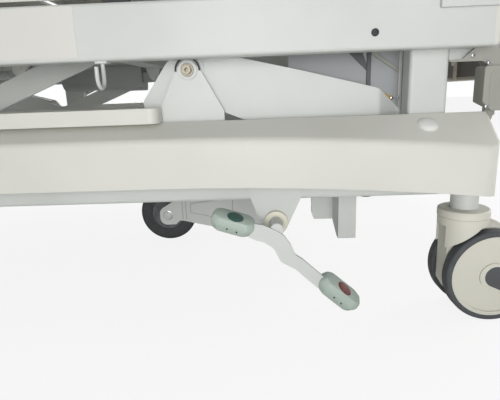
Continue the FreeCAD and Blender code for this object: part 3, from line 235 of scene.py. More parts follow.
nodeFinish = {
    "caster_body": "disc", "caster_discs": "disc", "caster_tyres": "tyre", "caster_stems": "coat",
    "base_frame": "coat", "base_brackets": "coat", "side_cover": "abs", "end_cover": "abs",
    "base_lids": "abs", "lift_brackets": "coat", "lift_pivot_bolts": "bolt", "brake_plates": "coat",
    "lift_actuator_body": "motor", "back_actuator_body": "motor", "knee_actuator_body": "motor",
    "lift_actuator_rod": "zinc", "back_actuator_rod": "zinc", "knee_actuator_rod": "zinc",
    "brake_shaft": "coat", "pedal_levers": "coat", "pedal_pads": "pad",
    "fifth_arm": "coat", "fifth_rim": "fifthRim", "fifth_tyre": "fifthTyre", "lift_arm": "coat",
    "frame_rails": "coat", "frame_cross_tubes": "coat", "frame_posts": "coat", "rail_end_caps": "abs",
    "drainage_hooks": "coat", "end_brackets": "coat", "corner_bumpers": "buffer", "junction_box": "box",
    "box_glands": "box", "seat_deck": "abs", "back_deck": "abs", "thigh_deck": "abs", "calf_deck": "abs",
    "deck_rests": "black", "guard_bases": "coat", "guard_arms": "coat", "guard_panel": "aluminium",
    "head_board": "board", "foot_board": "board",
}


def dressNodes():
    for name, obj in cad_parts.items():
        key = next((k for k in sorted(nodeFinish, key=len, reverse=True) if name.startswith(k)), None)
        if key is None:
            continue
        if not obj.material_slots:
            obj.data.materials.append(None)
        for spot in obj.material_slots:
            spot.link = "OBJECT"
            spot.material = materials[nodeFinish[key]]


dressNodes()


# Mesh tools: all sizes in millimetres in the row frame

def newPiece(name, bm, finishName, body, bevelMm=0.0, sharpDegrees=32):
    bmesh.ops.recalc_face_normals(bm, faces=bm.faces)
    for face in bm.faces:
        face.smooth = True
    for edge in bm.edges:
        edge.smooth = len(edge.link_faces) == 2 and edge.calc_face_angle(0.0) < math.radians(sharpDegrees)
    mesh = bpy.data.meshes.new(name)
    bm.to_mesh(mesh)
    bm.free()
    mesh.materials.append(materials[finishName])
    piece = bpy.data.objects.new(name, mesh)
    bpy.context.collection.objects.link(piece)
    if bevelMm:
        edge = piece.modifiers.new("edge", "BEVEL")
        edge.width = bevelMm * mm
        edge.segments = 3
        edge.limit_method = "ANGLE"
        edge.angle_limit = math.radians(40)
    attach(piece, body)
    return piece


def slab(name, points, place, depth, finishName, body, bevelMm=0.5):
    # points in a plane, place(a, b, t) gives the row frame, t runs through the thickness
    bm = bmesh.new()
    low = [bm.verts.new(Vector(place(a, b, 0.0)) * mm) for a, b in points]
    high = [bm.verts.new(Vector(place(a, b, depth)) * mm) for a, b in points]
    bm.faces.new(low)
    bm.faces.new(high[::-1])
    for i in range(len(points)):
        j = (i + 1) % len(points)
        bm.faces.new((low[i], high[i], high[j], low[j]))
    return newPiece(name, bm, finishName, body, bevelMm)


def turned(name, centre, axis, profile, finishName, body, steps=40):
    # a turned form: profile is (radius, distance along the axis); one that never meets the axis is a ring
    axis = Vector(axis).normalized()
    sideways = axis.orthogonal().normalized()
    other = axis.cross(sideways)
    bm = bmesh.new()
    rings = []
    for radius, along in profile:
        ring = []
        for i in range(steps):
            turn = math.radians(360.0 * i / steps)
            out = sideways * math.cos(turn) + other * math.sin(turn)
            ring.append(bm.verts.new((Vector(centre) + axis * along + out * max(radius, 0.001)) * mm))
        rings.append(ring)
    hollow = profile[0][0] > 0.01 and profile[-1][0] > 0.01
    following = rings[1:] + [rings[0]] if hollow else rings[1:]
    for a, b in zip(rings, following):
        for i in range(steps):
            j = (i + 1) % steps
            bm.faces.new((a[i], a[j], b[j], b[i]))
    if not hollow:
        for (radius, _), ring in ((profile[0], rings[0]), (profile[-1], rings[-1])):
            if radius > 0.01:
                bm.faces.new(ring)
    return newPiece(name, bm, finishName, body)


def roundCorners(points, radius, steps=5):
    # each corner of a flat outline becomes a short arc
    out = []
    for i in range(len(points)):
        here = Vector(points[i])
        back = Vector(points[i - 1]) - here
        ahead = Vector(points[(i + 1) % len(points)]) - here
        turn = math.pi - back.angle(ahead)
        reach = min(radius * math.tan(turn / 2), back.length * 0.49, ahead.length * 0.49)
        start, end = here + back.normalized() * reach, here + ahead.normalized() * reach
        for k in range(steps + 1):
            t = k / steps
            out.append(tuple(start * (1 - t) ** 2 + here * 2 * t * (1 - t) + end * t ** 2))
    return out


def onXZ(y, way=-1.0):
    return lambda a, b, t: (a, y + way * t, b)


def onYZ(x, way=1.0):
    return lambda a, b, t: (x + way * t, a, b)


def hexHead(name, centre, axis, acrossMm, highMm, finishName, body):
    # hexagon head with a chamfered top on a thin washer
    axis = Vector(axis).normalized()
    r = acrossMm / math.sqrt(3)
    turned(name + "_washer", centre, axis, [(r * 1.15, 0), (r * 1.15, 0.9), (r * 1.1, 1.2), (0, 1.2)],
           "zinc", body)
    turned(name + "_head", Vector(centre) + axis * 1.2, axis,
           [(r, 0), (r, highMm - 0.8), (r * 0.84, highMm), (0, highMm)], finishName, body, steps=6)


def crossScrew(name, centre, axis, r, body, finishName="zinc"):
    # pan head screw; its cross recess is a flat black cross of painted shade
    axis = Vector(axis).normalized()
    profile = [(r, 0), (r, r * 0.28), (r * 0.8, r * 0.5), (r * 0.4, r * 0.6), (0, r * 0.62)]
    turned(name, centre, axis, profile, finishName, body, steps=24)
    sideways = axis.orthogonal().normalized()
    other = axis.cross(sideways)
    bm = bmesh.new()
    top = Vector(centre) + axis * (r * 0.63)
    w, reach = r * 0.13, r * 0.62
    corners = [(-w, -reach), (w, -reach), (w, -w), (reach, -w), (reach, w), (w, w), (w, reach), (-w, reach),
               (-w, w), (-reach, w), (-reach, -w), (-w, -w)]
    bm.faces.new([bm.verts.new((top + sideways * a + other * b) * mm) for a, b in corners])
    newPiece(name + "_cross", bm, "black", body)


sides = ((-1.0, "near"), (1.0, "far"))
ends = ((1.0, "head"), (-1.0, "foot"))


# Casters: hub caps on both faces of each pair of discs

casterFacts = {"axleX": {"head": 973.0, "foot": -753.0}, "axleZ": 75.0, "y": 428.0, "face": 42.0,
               "capR": 17.5, "capMid": (3.0, -0.5), "wing": (33.0, -21.0), "wingR": 11.0,
               "capThick": 3.4, "capSunk": 3.9}


def hubCaps():
    print("hub caps")
    cap = casterFacts
    for end, endName in ends:
        for side, sideName in sides:
            body = "wheels_" + endName + "_" + sideName
            x = cap["axleX"][endName]
            for face in (-1.0, 1.0):
                y = side * cap["y"] + face * (cap["face"] - cap["capSunk"])
                lobes = [((a * end, b), r) for (a, b), r in ((cap["capMid"], cap["capR"]),
                                                             (cap["wing"], cap["wingR"]))]
                outline = hullOfCircles(lobes)
                points = [(x + a, cap["axleZ"] + b) for a, b in outline]
                slab("hubCap_%s_%s_%d" % (endName, sideName, face), points, onXZ(y, face), cap["capThick"],
                     "hub", body, 1.1)


def hullOfCircles(circles, steps=48):
    # outline round two circles, counted by angle from their middle
    cloud = []
    for (cx, cz), r in circles:
        for i in range(steps):
            turn = 2 * math.pi * i / steps
            cloud.append((cx + r * math.cos(turn), cz + r * math.sin(turn)))
    cloud = sorted(set(cloud))

    def half(points):
        chain = []
        for p in points:
            while len(chain) > 1 and ((chain[-1][0] - chain[-2][0]) * (p[1] - chain[-2][1])
                                      - (chain[-1][1] - chain[-2][1]) * (p[0] - chain[-2][0])) <= 1e-9:
                chain.pop()
            chain.append(p)
        return chain[:-1]

    return half(cloud) + half(cloud[::-1])


hubCaps()


# Pedals: soft pads with a coloured disc, and a nylon bushing round the shaft

pedalFacts = {
    "shaft": (631.0, 167.5), "y": 486.0, "tilt": 15.0, "insertR": 12.6,
    # from the shaft to the pad's middle, its angle, then length, width and thickness
    "green": (-66.5, 14.0, -18.0, 67.0, 36.0, 24.0),
    "red": (94.0, -103.5, -41.0, 74.0, 37.0, 25.0),
    "plan": [(-1.0, -0.55), (-0.7, -1.0), (0.7, -1.0), (1.0, -0.55),
             (1.0, 0.55), (0.7, 1.0), (-0.7, 1.0), (-1.0, 0.55)],
    "bushing": [(19.4, 0), (19.4, 5.4), (18.2, 7.2), (15.5, 7.9), (12.0, 7.6), (10.9, 6.6), (10.9, 0)],
    "bushingY": 440.9, "shaftEndY": 484.9,
}


def pedalPads():
    print("pedal pads")
    fact = pedalFacts
    for colour, node in (("green", "pedal_pads_green"), ("red", "pedal_pads_red")):
        for side, sideName in sides:
            dx, dz, angle, length, width, thick = fact[colour]
            turn = math.radians(angle)
            tip = math.radians(fact["tilt"])
            along = Vector((math.cos(turn), 0, math.sin(turn)))
            upFlat = Vector((-math.sin(turn), 0, math.cos(turn)))
            across = Vector((0, 1, 0)) * math.cos(tip) + upFlat * math.sin(tip)
            up = upFlat * math.cos(tip) - Vector((0, 1, 0)) * math.sin(tip)
            centre = Vector((fact["shaft"][0] + dx, -fact["y"], fact["shaft"][1] + dz))

            def spot(a, b, c):
                p = centre + along * a + across * b + up * c
                return (Vector((p.x, p.y * -side, p.z))) * mm

            halfL, halfW, halfT = length / 2, width / 2, thick / 2
            plan = [(a * halfL, b * halfW) for a, b in fact["plan"]]
            plan = roundCorners(plan, 7.0, 4)
            layers = [(-halfT, 0.8, 0.76), (-halfT + 1.5, 0.86, 0.84), (-1.0, 0.99, 0.98), (1.5, 1.0, 1.0),
                      (4.0, 0.99, 0.98), (halfT - 2.4, 0.94, 0.91), (halfT - 0.7, 0.9, 0.86),
                      (halfT, 0.86, 0.8)]
            bm = bmesh.new()
            rings = [[bm.verts.new(spot(a * alongShare, b * acrossShare, height)) for a, b in plan]
                     for height, alongShare, acrossShare in layers]
            for lowRing, highRing in zip(rings[:-1], rings[1:]):
                for i in range(len(plan)):
                    j = (i + 1) % len(plan)
                    bm.faces.new((lowRing[i], lowRing[j], highRing[j], highRing[i]))
            bm.faces.new(rings[0])
            bm.faces.new(rings[-1])
            pad = newPiece("pad_%s_%s" % (colour, sideName), bm, "pad", "pedals", 0.0, 40)
            top = centre + up * (halfT - 0.2) - across * 2.5 + along * 1.5
            axis = up
            if side > 0:
                top, axis = Vector((top.x, -top.y, top.z)), Vector((axis.x, -axis.y, axis.z))
            r = fact["insertR"]
            turned("insert_%s_%s" % (colour, sideName), top, axis,
                   [(r, -1.0), (r, 0.7), (r - 1.0, 1.2), (0, 1.4)], colour, "pedals")
            for k, (a, b) in enumerate(((-6.0, 0.0), (9.0, -1.0))):
                place = centre + along * a - across * (halfW - 0.6) + up * (-2.5 + b)
                outward = -across
                if side > 0:
                    place = Vector((place.x, -place.y, place.z))
                    outward = Vector((0, abs(across.y), 0))
                turned("padDot_%s_%s_%d" % (colour, sideName, k), place, outward,
                       [(1.3, 0), (1.3, 1.0), (0, 1.0)], "black", "pedals", 12)
        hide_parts(node)
        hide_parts(node)


def bushings():
    print("bushings")
    x, z = pedalFacts["shaft"]
    for side, sideName in sides:
        turned("bushing_" + sideName, (x, side * pedalFacts["bushingY"], z), (0, side, 0),
               pedalFacts["bushing"], "nylon", "base")
        turned("shaftEnd_" + sideName, (x, side * pedalFacts["shaftEndY"], z), (0, side, 0),
               [(10.3, 0), (10.3, 0.6), (9.4, 1.3), (0, 1.4)], "coat", "pedals")


pedalPads()
bushings()


# Base cover: dome caps over the fixings and small screws

coverFacts = {"mid": 110.0, "flat": 330.0, "droopR": 4800.0, "edge": 308.0, "ridge": 330.0,
              "domeX": (865.0, -645.0), "domeY": 440.0, "domeR": 15.6, "domeHigh": 6.6}


def coverTop(x, y):
    # height and slope of the cover's top at a point of the near side
    run = max(abs(x - coverFacts["mid"]) - coverFacts["flat"], 0.0)
    edge = coverFacts["edge"] - run * run / (2 * coverFacts["droopR"])
    slope = (coverFacts["ridge"] - edge) / 60.0
    return edge + slope * (y + 478.0), slope


def domeCaps():
    print("dome caps")
    for x in coverFacts["domeX"]:
        for side, sideName in sides:
            z, slope = coverTop(x, -coverFacts["domeY"])
            lean = Vector((0.0, side * slope * 0.85, 1.0)).normalized()
            r = coverFacts["domeR"]
            high = coverFacts["domeHigh"]
            turns = [t * math.pi / 16 for t in range(1, 9)]
            profile = [(r, -2.0), (r, 0.8)]
            profile += [(r * math.cos(t), 0.8 + high * math.sin(t)) for t in turns]
            turned("domeCap_%d_%s" % (x, sideName), (x, side * coverFacts["domeY"], z - 0.4), lean, profile,
                   "dome", "base", 48)


domeCaps()


# Pivot bolts, plugs and screws

pivotFacts = {"x": (498.0, -391.0), "z": 410.0, "plateY": 404.0, "sealR": (17.6, 20.2),
              "sealSpans": ((-4, 58), (122, 186)),
              "plugX": (779.0, 40.0, -560.0), "plugZ": 449.0, "railY": 450.0}


def pivotDetails():
    print("pivot details")
    z = pivotFacts["z"]
    innerR, outerR = pivotFacts["sealR"]
    for x in pivotFacts["x"]:
        for side, sideName in sides:
            y = side * pivotFacts["plateY"]
            turned("pivotBoss_%d_%s" % (x, sideName), (x, y, z), (0, side, 0),
                   [(15.5, 0), (15.5, 1.6), (14.6, 2.3), (10.7, 2.3), (10.7, 0.4)], "coat", "base")
            for k, (low, high) in enumerate(pivotFacts["sealSpans"]):
                turns = [math.radians(low + (high - low) * i / 14) for i in range(15)]
                arc = [(x + outerR * math.cos(t), z + outerR * math.sin(t)) for t in turns]
                arc += [(x + innerR * math.cos(t), z + innerR * math.sin(t)) for t in turns[::-1]]
                slab("pivotSeal_%d_%s_%d" % (x, sideName, k), arc, onXZ(y - side * 0.4, side), 2.4, "black",
                     "base", 0.3)
            turned("pivotRing_%d_%s" % (x, sideName), (x, y + side * 2.0, z), (0, side, 0),
                   [(10.6, 0.2), (10.6, 0.7), (9.7, 0.7), (9.7, 0.2)], "box", "base", 48)
    for x in pivotFacts["plugX"]:
        for side, sideName in sides:
            turned("railPlug_%d_%s" % (x, sideName), (x, side * pivotFacts["railY"], pivotFacts["plugZ"]),
                   (0, side, 0), [(5.6, 0), (5.6, 0.8), (4.4, 2.2), (2.6, 2.6), (2.4, 1.4), (0, 1.4)],
                   "black", "lift_frame", 28)


boxFacts = {
    "screws": ((936, -416, 414.5), (958.8, -420, 402.4), (960.8, -420, 337.8), (1028, -420, 393),
               (1028, -420, 338), (1018, -416, 413)),
    "screwR": 3.5, "lid": ((963, 341), (1026, 341), (1026, 390), (963, 390)), "lidY": -419.6,
    "gland": (972, -404), "ribs": (328.6, 326.4, 324.2),
}


def boxScrews():
    print("box screws")
    for x, y, z in boxFacts["screws"]:
        crossScrew("boxScrew_%d_%d" % (x, z), (x, y, z), (0, -1, 0), boxFacts["screwR"], "lift_frame")
    slab("boxLid", roundCorners(boxFacts["lid"], 5), onXZ(boxFacts["lidY"]), 0.9, "box", "lift_frame", 0.4)
    for k, z in enumerate(boxFacts["ribs"]):
        turned("glandRib_%d" % k, (*boxFacts["gland"], z), (0, 0, 1),
               [(8.8, 0), (9.4, 0.4), (9.4, 1.0), (8.8, 1.4)], "box", "lift_frame", 30)


plateFacts = {"outline": [(214, 431), (345, 431), (345, 502), (214, 502)], "y": 449.9, "thick": 0.7}


def railPlates():
    # bare plates where the real one has a label
    print("rail plates")
    for side, sideName in sides:
        slab("railPlate_" + sideName, roundCorners(plateFacts["outline"], 2.0),
             onXZ(side * plateFacts["y"], side), plateFacts["thick"], "plate", "lift_frame", 0.2)


pivotDetails()
boxScrews()
railPlates()


# Braces, panels and flanges of the upper frame and the lift arms

def bar(name, start, end, wide, y, thick, side, finishName, body):
    # flat bar between two points of the near side, mirrored for the far side
    run = Vector((end[0] - start[0], end[1] - start[1])).normalized()
    off = Vector((-run.y, run.x)) * wide / 2
    low, high = Vector(start), Vector(end)
    corners = [tuple(low - off), tuple(high - off), tuple(high + off), tuple(low + off)]
    slab(name, corners, onXZ(side * y, side), thick, finishName, body, 0.8)


braceFacts = {
    "low": (-16, 327), "headTop": (334, 466), "footTop": (-370, 466), "wide": 42, "y": 277.0, "thick": 6.0,
    "foot": [(-58, 306), (26, 306), (40, 352), (-72, 352)], "plateY": 283.1, "boltY": 287.1,
    "bolts": ((-46, 330), (14, 330)), "topX": (330, -366), "topHalf": 26, "topZ": (440, 498),
}


def frameBraces():
    # a truss of flat bars below the cross tubes stiffens the long frame
    print("frame braces")
    fact = braceFacts
    low, high = fact["topZ"]
    for side, sideName in sides:
        bar("braceUp_" + sideName, fact["low"], fact["headTop"], fact["wide"], fact["y"],
            fact["thick"], side, "coat", "lift_frame")
        bar("braceDown_" + sideName, fact["low"], fact["footTop"], fact["wide"], fact["y"] - 0.1,
            -fact["thick"], side, "coat", "lift_frame")
        slab("braceFoot_" + sideName, roundCorners(fact["foot"], 10), onXZ(side * fact["plateY"], side), 4.0,
             "coat", "lift_frame", 0.8)
        for k, (x, z) in enumerate(fact["bolts"]):
            hexHead("braceBolt_%s_%d" % (sideName, k), (x, side * fact["boltY"], z), (0, side, 0), 13, 5.0,
                    "zinc", "lift_frame")
        for k, x in enumerate(fact["topX"]):
            left, right = x - fact["topHalf"], x + fact["topHalf"]
            slab("braceTop_%s_%d" % (sideName, k), [(left, low), (right, low), (right, high), (left, high)],
                 onXZ(side * fact["plateY"], side), 5.0, "coat", "lift_frame", 0.8)


panelFacts = {
    "sheetY": 342.0, "faceY": 344.9,
    "sheet": [(660, 392), (770, 364), (858, 312), (864, 312), (864, 434), (660, 434)],
    "fold": [(792, 366), (799, 362), (799, 430), (792, 430)],
    "web": [(762, 430), (785, 430), (793, 408), (793, 400)],
    "post": [(846, 336), (851.4, 333), (851.4, 430), (846, 430)],
    "rib": ((800, 430), (852, 395)), "lug": ((832, 356), (824, 362)),
    "earth": (835, 354.5), "nut": (846, 354),
    "gusset": [(904.5, 407), (925, 407.5), (948, 424), (948, 434), (904.5, 434)], "gussetY": 400.0,
}


def sidePanels():
    # sheet panels inside the posts close the frame towards the drives; an earth screw sits low on each. The
    # sheet's darker grey is painted shade, and the fold and web are dark strips of painted shade
    print("side panels")
    faceY = panelFacts["faceY"]
    (x, z), (nutX, nutZ) = panelFacts["earth"], panelFacts["nut"]
    for side, sideName in sides:
        onSheet = onXZ(side * panelFacts["sheetY"], side)
        onFace = onXZ(side * faceY, side)
        slab("panelSheet_" + sideName, roundCorners(panelFacts["sheet"], 3), onSheet, 3.0, "panel",
             "lift_frame", 0.8)
        # fold and web: dark grey strips painted as shade on the sheet
        slab("panelFoldShade_" + sideName, panelFacts["fold"], onFace, 4.0, "hub", "lift_frame", 0.5)
        slab("panelWebShade_" + sideName, panelFacts["web"], onFace, 2.0, "hub", "lift_frame", 0.4)
        bar("panelRib_" + sideName, *panelFacts["rib"], 6.5, faceY, 3.0, side, "box", "lift_frame")
        slab("panelPost_" + sideName, panelFacts["post"], onFace, 3.4, "dome", "lift_frame", 0.6)
        turned("earthRing_" + sideName, (x, side * (faceY + 0.1), z), (0, side, 0),
               [(4.2, 0), (4.2, 1.2), (2.2, 1.2), (2.2, 0)], "brass", "lift_frame", 24)
        crossScrew("earthScrew_" + sideName, (x + 1, side * (faceY + 1.2), z), (0, side, 0), 3.0,
                   "lift_frame")
        crossScrew("earthNut_" + sideName, (nutX, side * (faceY + 3.4), nutZ), (0, side, 0), 3.4,
                   "lift_frame", "coat")
        bar("earthLug_" + sideName, *panelFacts["lug"], 4, faceY + 0.1, 1.0, side, "brass", "lift_frame")
        slab("postGusset_" + sideName, roundCorners(panelFacts["gusset"], 1.5),
             onXZ(side * panelFacts["gussetY"], side), 5.0, "coat", "lift_frame", 0.6)


flangeFacts = {
    "pivotZ": 410, "arms": ((498.0, "lift_arm_head", "head"), (-391.0, "lift_arm_foot", "foot")),
    "edge": [(62, 19.5), (120, 5.5), (178, -8.0), (240, -24.0), (296, -38.5)],  # from the pivot
    "section": ((388.0, 0.0), (388.0, -3.0), (360.0, -3.0), (360.0, 0.0)),
}


def armFlanges():
    # the lift arms are folded along the top edge; the flange is drawn in the darker panel grey as painted
    # shade from the upper frame
    print("arm flanges")
    edge = flangeFacts["edge"]
    for x0, arm, endName in flangeFacts["arms"]:
        for side, sideName in sides:
            bm = bmesh.new()
            rows = []
            for y, lift in flangeFacts["section"]:
                rows.append([bm.verts.new(Vector((x0 + a, side * y, flangeFacts["pivotZ"] + b + lift)) * mm)
                             for a, b in edge])
            for k in range(4):
                low, high = rows[k], rows[(k + 1) % 4]
                for i in range(len(edge) - 1):
                    bm.faces.new((low[i], low[i + 1], high[i + 1], high[i]))
            for i in (0, len(edge) - 1):
                bm.faces.new([row[i] for row in rows])
            newPiece("armFlange_%s_%s" % (endName, sideName), bm, "panel", arm, 0.6)


frameBraces()
sidePanels()
armFlanges()


# Fifth wheel: bolt, raised panel on the fork and a black ring of painted shade for the groove between tyre
# and rim

fifthFacts = {
    "bolt": (364.5, 45.0, 73.6), "axle": (362, 75), "forkY": 44.8, "rimY": 27.9, "webY": 26.4,
    "line": [(424, 104), (422, 79), (474, 67), (531, 78), (533, 115)],
    "panel": [(425.3, 102.6), (423.4, 80), (474, 68.4), (529.8, 79.2), (531.6, 113.6)],
    "hole": (504, 45.9, 113.5), "folds": (402, 411), "foldWide": 1.4, "foldZ": (62, 116),
    "groove": [(41.0, 0), (41.4, 0.5), (43.4, 0.5), (43.8, 0)],
    "web": [(19.0, -5.0), (20.0, -3.4), (30.0, -2.4), (36.4, 0.2), (36.4, -4.0)],
    "step": [(35.8, -2.0), (36.2, 0.4), (40.0, 0.7), (40.6, 0)],
}


def fifthDetails():
    print("fifth wheel details")
    fact = fifthFacts
    (boltX, boltY, boltZ), (holeX, holeY, holeZ) = fact["bolt"], fact["hole"]
    x, z = fact["axle"]
    low, high = fact["foldZ"]
    for side, sideName in sides:
        out = (0, side, 0)
        onFork = onXZ(side * fact["forkY"], side)
        onPanel = onXZ(side * (fact["forkY"] + 0.1), side)
        hexHead("fifthBolt_" + sideName, (boltX, side * boltY, boltZ), out, 18.5, 6.0, "coat", "fifth_arm")
        # a thin seam-grey slab under the raised panel, a painted shade line round its border
        slab("forkShadeLine_" + sideName, roundCorners(fact["line"], 5), onFork, 0.6, "seam", "fifth_arm", 0.1)
        slab("forkPanel_" + sideName, roundCorners(fact["panel"], 4.4), onPanel, 1.2, "coat",
             "fifth_arm", 0.4)
        # a flat black disc, painted shade for the hole in the fork
        turned("forkHoleShade_" + sideName, (holeX, side * holeY, holeZ), out, [(2.6, 0), (2.6, 0.3), (0, 0.3)],
               "black", "fifth_arm", 20)
        # the folds are thin seam-grey strips, painted shade lines
        for k, left in enumerate(fact["folds"]):
            right = left + fact["foldWide"]
            slab("forkFoldShade_%s_%d" % (sideName, k), [(left, low), (right, low), (right, high), (left, high)],
                 onPanel, 0.4, "seam", "fifth_arm", 0.1)
        # a thin black ring, painted shade of the groove between tyre and rim
        turned("tyreGrooveShade_" + sideName, (x, side * fact["rimY"], z), out, fact["groove"], "black",
               "fifth_wheel", 72)
        turned("rimWeb_" + sideName, (x, side * fact["webY"], z), out, fact["web"], "fifthRim",
               "fifth_wheel", 72)
        turned("rimStep_" + sideName, (x, side * fact["rimY"], z), out, fact["step"], "fifthRim",
               "fifth_wheel", 72)


fifthDetails()


# End boards: laminate facings, edge trim and a hand slot lining

boardFacts = {
    "inner": 1045.0, "outer": 1073.0, "half": 440.0, "low": 380.0, "top": 960.0, "border": 8.0,
    "outerBorder": 46, "topBorder": 90, "sunk": 3.2,
    "ring": [(-79, 890), (79, 890), (79, 932), (-79, 932)],
    "slot": [(-73.5, 895.5), (73.5, 895.5), (73.5, 926.5), (-73.5, 926.5)],
    "lockY": 108.0, "lockHalf": 4.5, "lockZ": (384, 428), "lockX": 1043.4, "knobX": 1038.5, "knobZ": 419,
    "screwX": 1072.6, "screwY": (-414.0, -140.0, 140.0, 414.0), "screwZ": (403.0, 892.0), "screwR": 4.2,
    "bufferCap": (1055, 474, 523.8),
}


def boardFacings():
    print("board facings")
    fact = boardFacts
    faces = ((fact["inner"], -1.0, "inner"), (fact["outer"], 1.0, "outer"))
    for end, endName in ends:
        for x, way, label in faces:
            within = label == "inner"
            w = fact["half"] - (fact["border"] + 9 if within else fact["outerBorder"])
            low = fact["low"] + (fact["border"] if within else fact["outerBorder"])
            top = fact["top"] - fact["topBorder"]
            outline = roundCorners([(-w, low), (w, low), (w, top), (-w, top)], 16)
            start = x if within else x - fact["sunk"]
            slab("facing_%s_%s" % (endName, label), outline, onYZ(end * start, end * way),
                 1.4 if within else 1.2, "laminate", endName + "_board", 0.5)
        ring = roundCorners(fact["ring"], 20, 8)
        slot = roundCorners(fact["slot"], 15.4, 8)
        for x, way, label in faces:
            slotTrim("slotTrim_%s_%s" % (endName, label), ring, slot, end * x, end * way, endName + "_board")


def slotTrim(name, outer, inner, x, way, body):
    bm = bmesh.new()
    rows = []
    for points, t in ((outer, 0.0), (outer, 1.4), (inner, 1.8), (inner, -6.0)):
        rows.append([bm.verts.new(Vector((x + way * t, a, b)) * mm) for a, b in points])
    for low, high in zip(rows[:-1], rows[1:]):
        for i in range(len(low)):
            j = (i + 1) % len(low)
            bm.faces.new((low[i], low[j], high[j], high[i]))
    newPiece(name, bm, "abs", body, 0.0, 50)


def boardLocks():
    # a light latch bar with a knob on the inner face, seen past the junction box
    print("board locks")
    fact = boardFacts
    low, high = fact["lockZ"]
    for end, endName in ends:
        for side, sideName in sides:
            y = side * fact["lockY"]
            left, right = y - fact["lockHalf"], y + fact["lockHalf"]
            outline = roundCorners([(left, low), (right, low), (right, high), (left, high)], 2)
            slab("lockBar_%s_%s" % (endName, sideName), outline, onYZ(end * fact["lockX"], -end), 5.0,
                 "board", endName + "_board", 0.8)
            turned("lockKnob_%s_%s" % (endName, sideName), (end * fact["knobX"], y, fact["knobZ"]),
                   (-end, 0, 0), [(7.2, 0), (7.2, 3.0), (6.0, 4.6), (0, 5.0)], "abs", endName + "_board", 28)


boardFacings()
boardLocks()


# Side guards: bar plugs, pivot nuts and release grips; screws and buffer caps at the boards

guardFacts = {
    "barY": (484.5, 503.5), "barZ": (865, 901), "barX": ((800.0, 1.0), (-460.0, -1.0)),
    "armX": (-300.0, 170.0, 640.0), "nutOff": 17.9, "pivotY": 474.0, "pivotZ": 672,
    "grip": [(200, 658), (330, 658), (330, 686), (200, 686)], "gripY": 486.8,
    "inset": [(212, 664), (318, 664), (318, 680), (212, 680)], "insetY": 495.6,
}


def guardDetails():
    print("guard details")
    fact = guardFacts
    innerY, outerY = fact["barY"]
    low, high = fact["barZ"]
    for side, sideName in sides:
        body = "guard_panel_" + sideName
        for x, way in fact["barX"]:
            plug = roundCorners([(side * innerY, low), (side * outerY, low), (side * outerY, high),
                                 (side * innerY, high)], 8.8)
            slab("barPlug_%s_%d" % (sideName, x), plug, onYZ(x - way * 0.5, way), 4.5, "tyre", body, 1.6)
        for x in fact["armX"]:
            place = (x - fact["nutOff"], side * fact["pivotY"], fact["pivotZ"])
            turned("guardNut_%s_%d" % (sideName, x), place, (-1, 0, 0),
                   [(7.5, 0), (7.5, 2.0), (5.2, 5.0), (0, 5.2)], "zinc", body, 6)
        slab("releaseGrip_" + sideName, roundCorners(fact["grip"], 11), onXZ(side * fact["gripY"], side),
             9.0, "tyre", body, 2.4)
        slab("releaseInset_" + sideName, roundCorners(fact["inset"], 7), onXZ(side * fact["insetY"], side),
             1.2, "pad", body, 0.5)


def boardScrews():
    # the middle screws are left out at the top, where the hand slot is
    print("board screws")
    fact = boardFacts
    capX, capY, capZ = fact["bufferCap"]
    for end, endName in ends:
        for y in fact["screwY"]:
            for z in fact["screwZ"]:
                if abs(y) < 200 and z > 800:
                    continue
                crossScrew("boardScrew_%s_%d_%d" % (endName, y, z), (end * fact["screwX"], y, z),
                           (end, 0, 0), fact["screwR"], endName + "_board")
        for side, sideName in sides:
            turned("bufferCap_%s_%s" % (endName, sideName), (end * capX, side * capY, capZ), (0, 0, 1),
                   [(15, 0), (15, 1.6), (12.5, 3.0), (0, 3.2)], "hub", "lift_frame", 36)


guardDetails()
boardScrews()


# The cable below the junction box

cableFacts = {
    "route": [(972, -404, 316), (972, -403, 296), (977, -388, 279), (986, -366, 280), (993, -352, 300),
              (995, -349, 332), (996, -345, 369), (997, -325, 400), (998, -300, 420), (998, -300, 440)],
    "diameter": 7.0,
    "length": 0.243,
}


def boxCable():
    print("cable")
    line = bpy.data.curves.new("boxCable", "CURVE")
    line.dimensions = "3D"
    line.bevel_depth = cableFacts["diameter"] / 2 * mm
    line.bevel_resolution = 4
    line.resolution_u = 16
    spline = line.splines.new("NURBS")
    spline.points.add(len(cableFacts["route"]) - 1)
    for point, place in zip(spline.points, cableFacts["route"]):
        point.co = (place[0] * mm, place[1] * mm, place[2] * mm, 1.0)
    spline.order_u = 3
    spline.use_endpoint_u = True
    piece = bpy.data.objects.new("boxCable", line)
    bpy.context.collection.objects.link(piece)
    line.materials.append(materials["sheath"])
    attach(piece, "lift_frame")
    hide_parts("box_cable")


boxCable()


# Floor, light and camera

stage = {"floor": "#f8f8f7", "floorGlow": 0.86, "world": 0.36,
         "lamps": (("front", (0.55, -3.6, 0.72), (0.45, 0.0, 0.3), 1.7, 38.0),
                   ("under", (0.7, -2.4, 0.05), (0.4, 0.0, 0.2), 1.2, 12.0),
                   ("headSide", (3.6, 0.9, 1.5), (0.2, 0.0, 0.5), 2.2, 40.0),
                   ("footSide", (-3.6, 0.9, 1.5), (-0.2, 0.0, 0.5), 2.2, 44.0),
                   ("back", (-0.4, 3.6, 1.7), (0.0, 0.0, 0.4), 2.6, 52.0))}


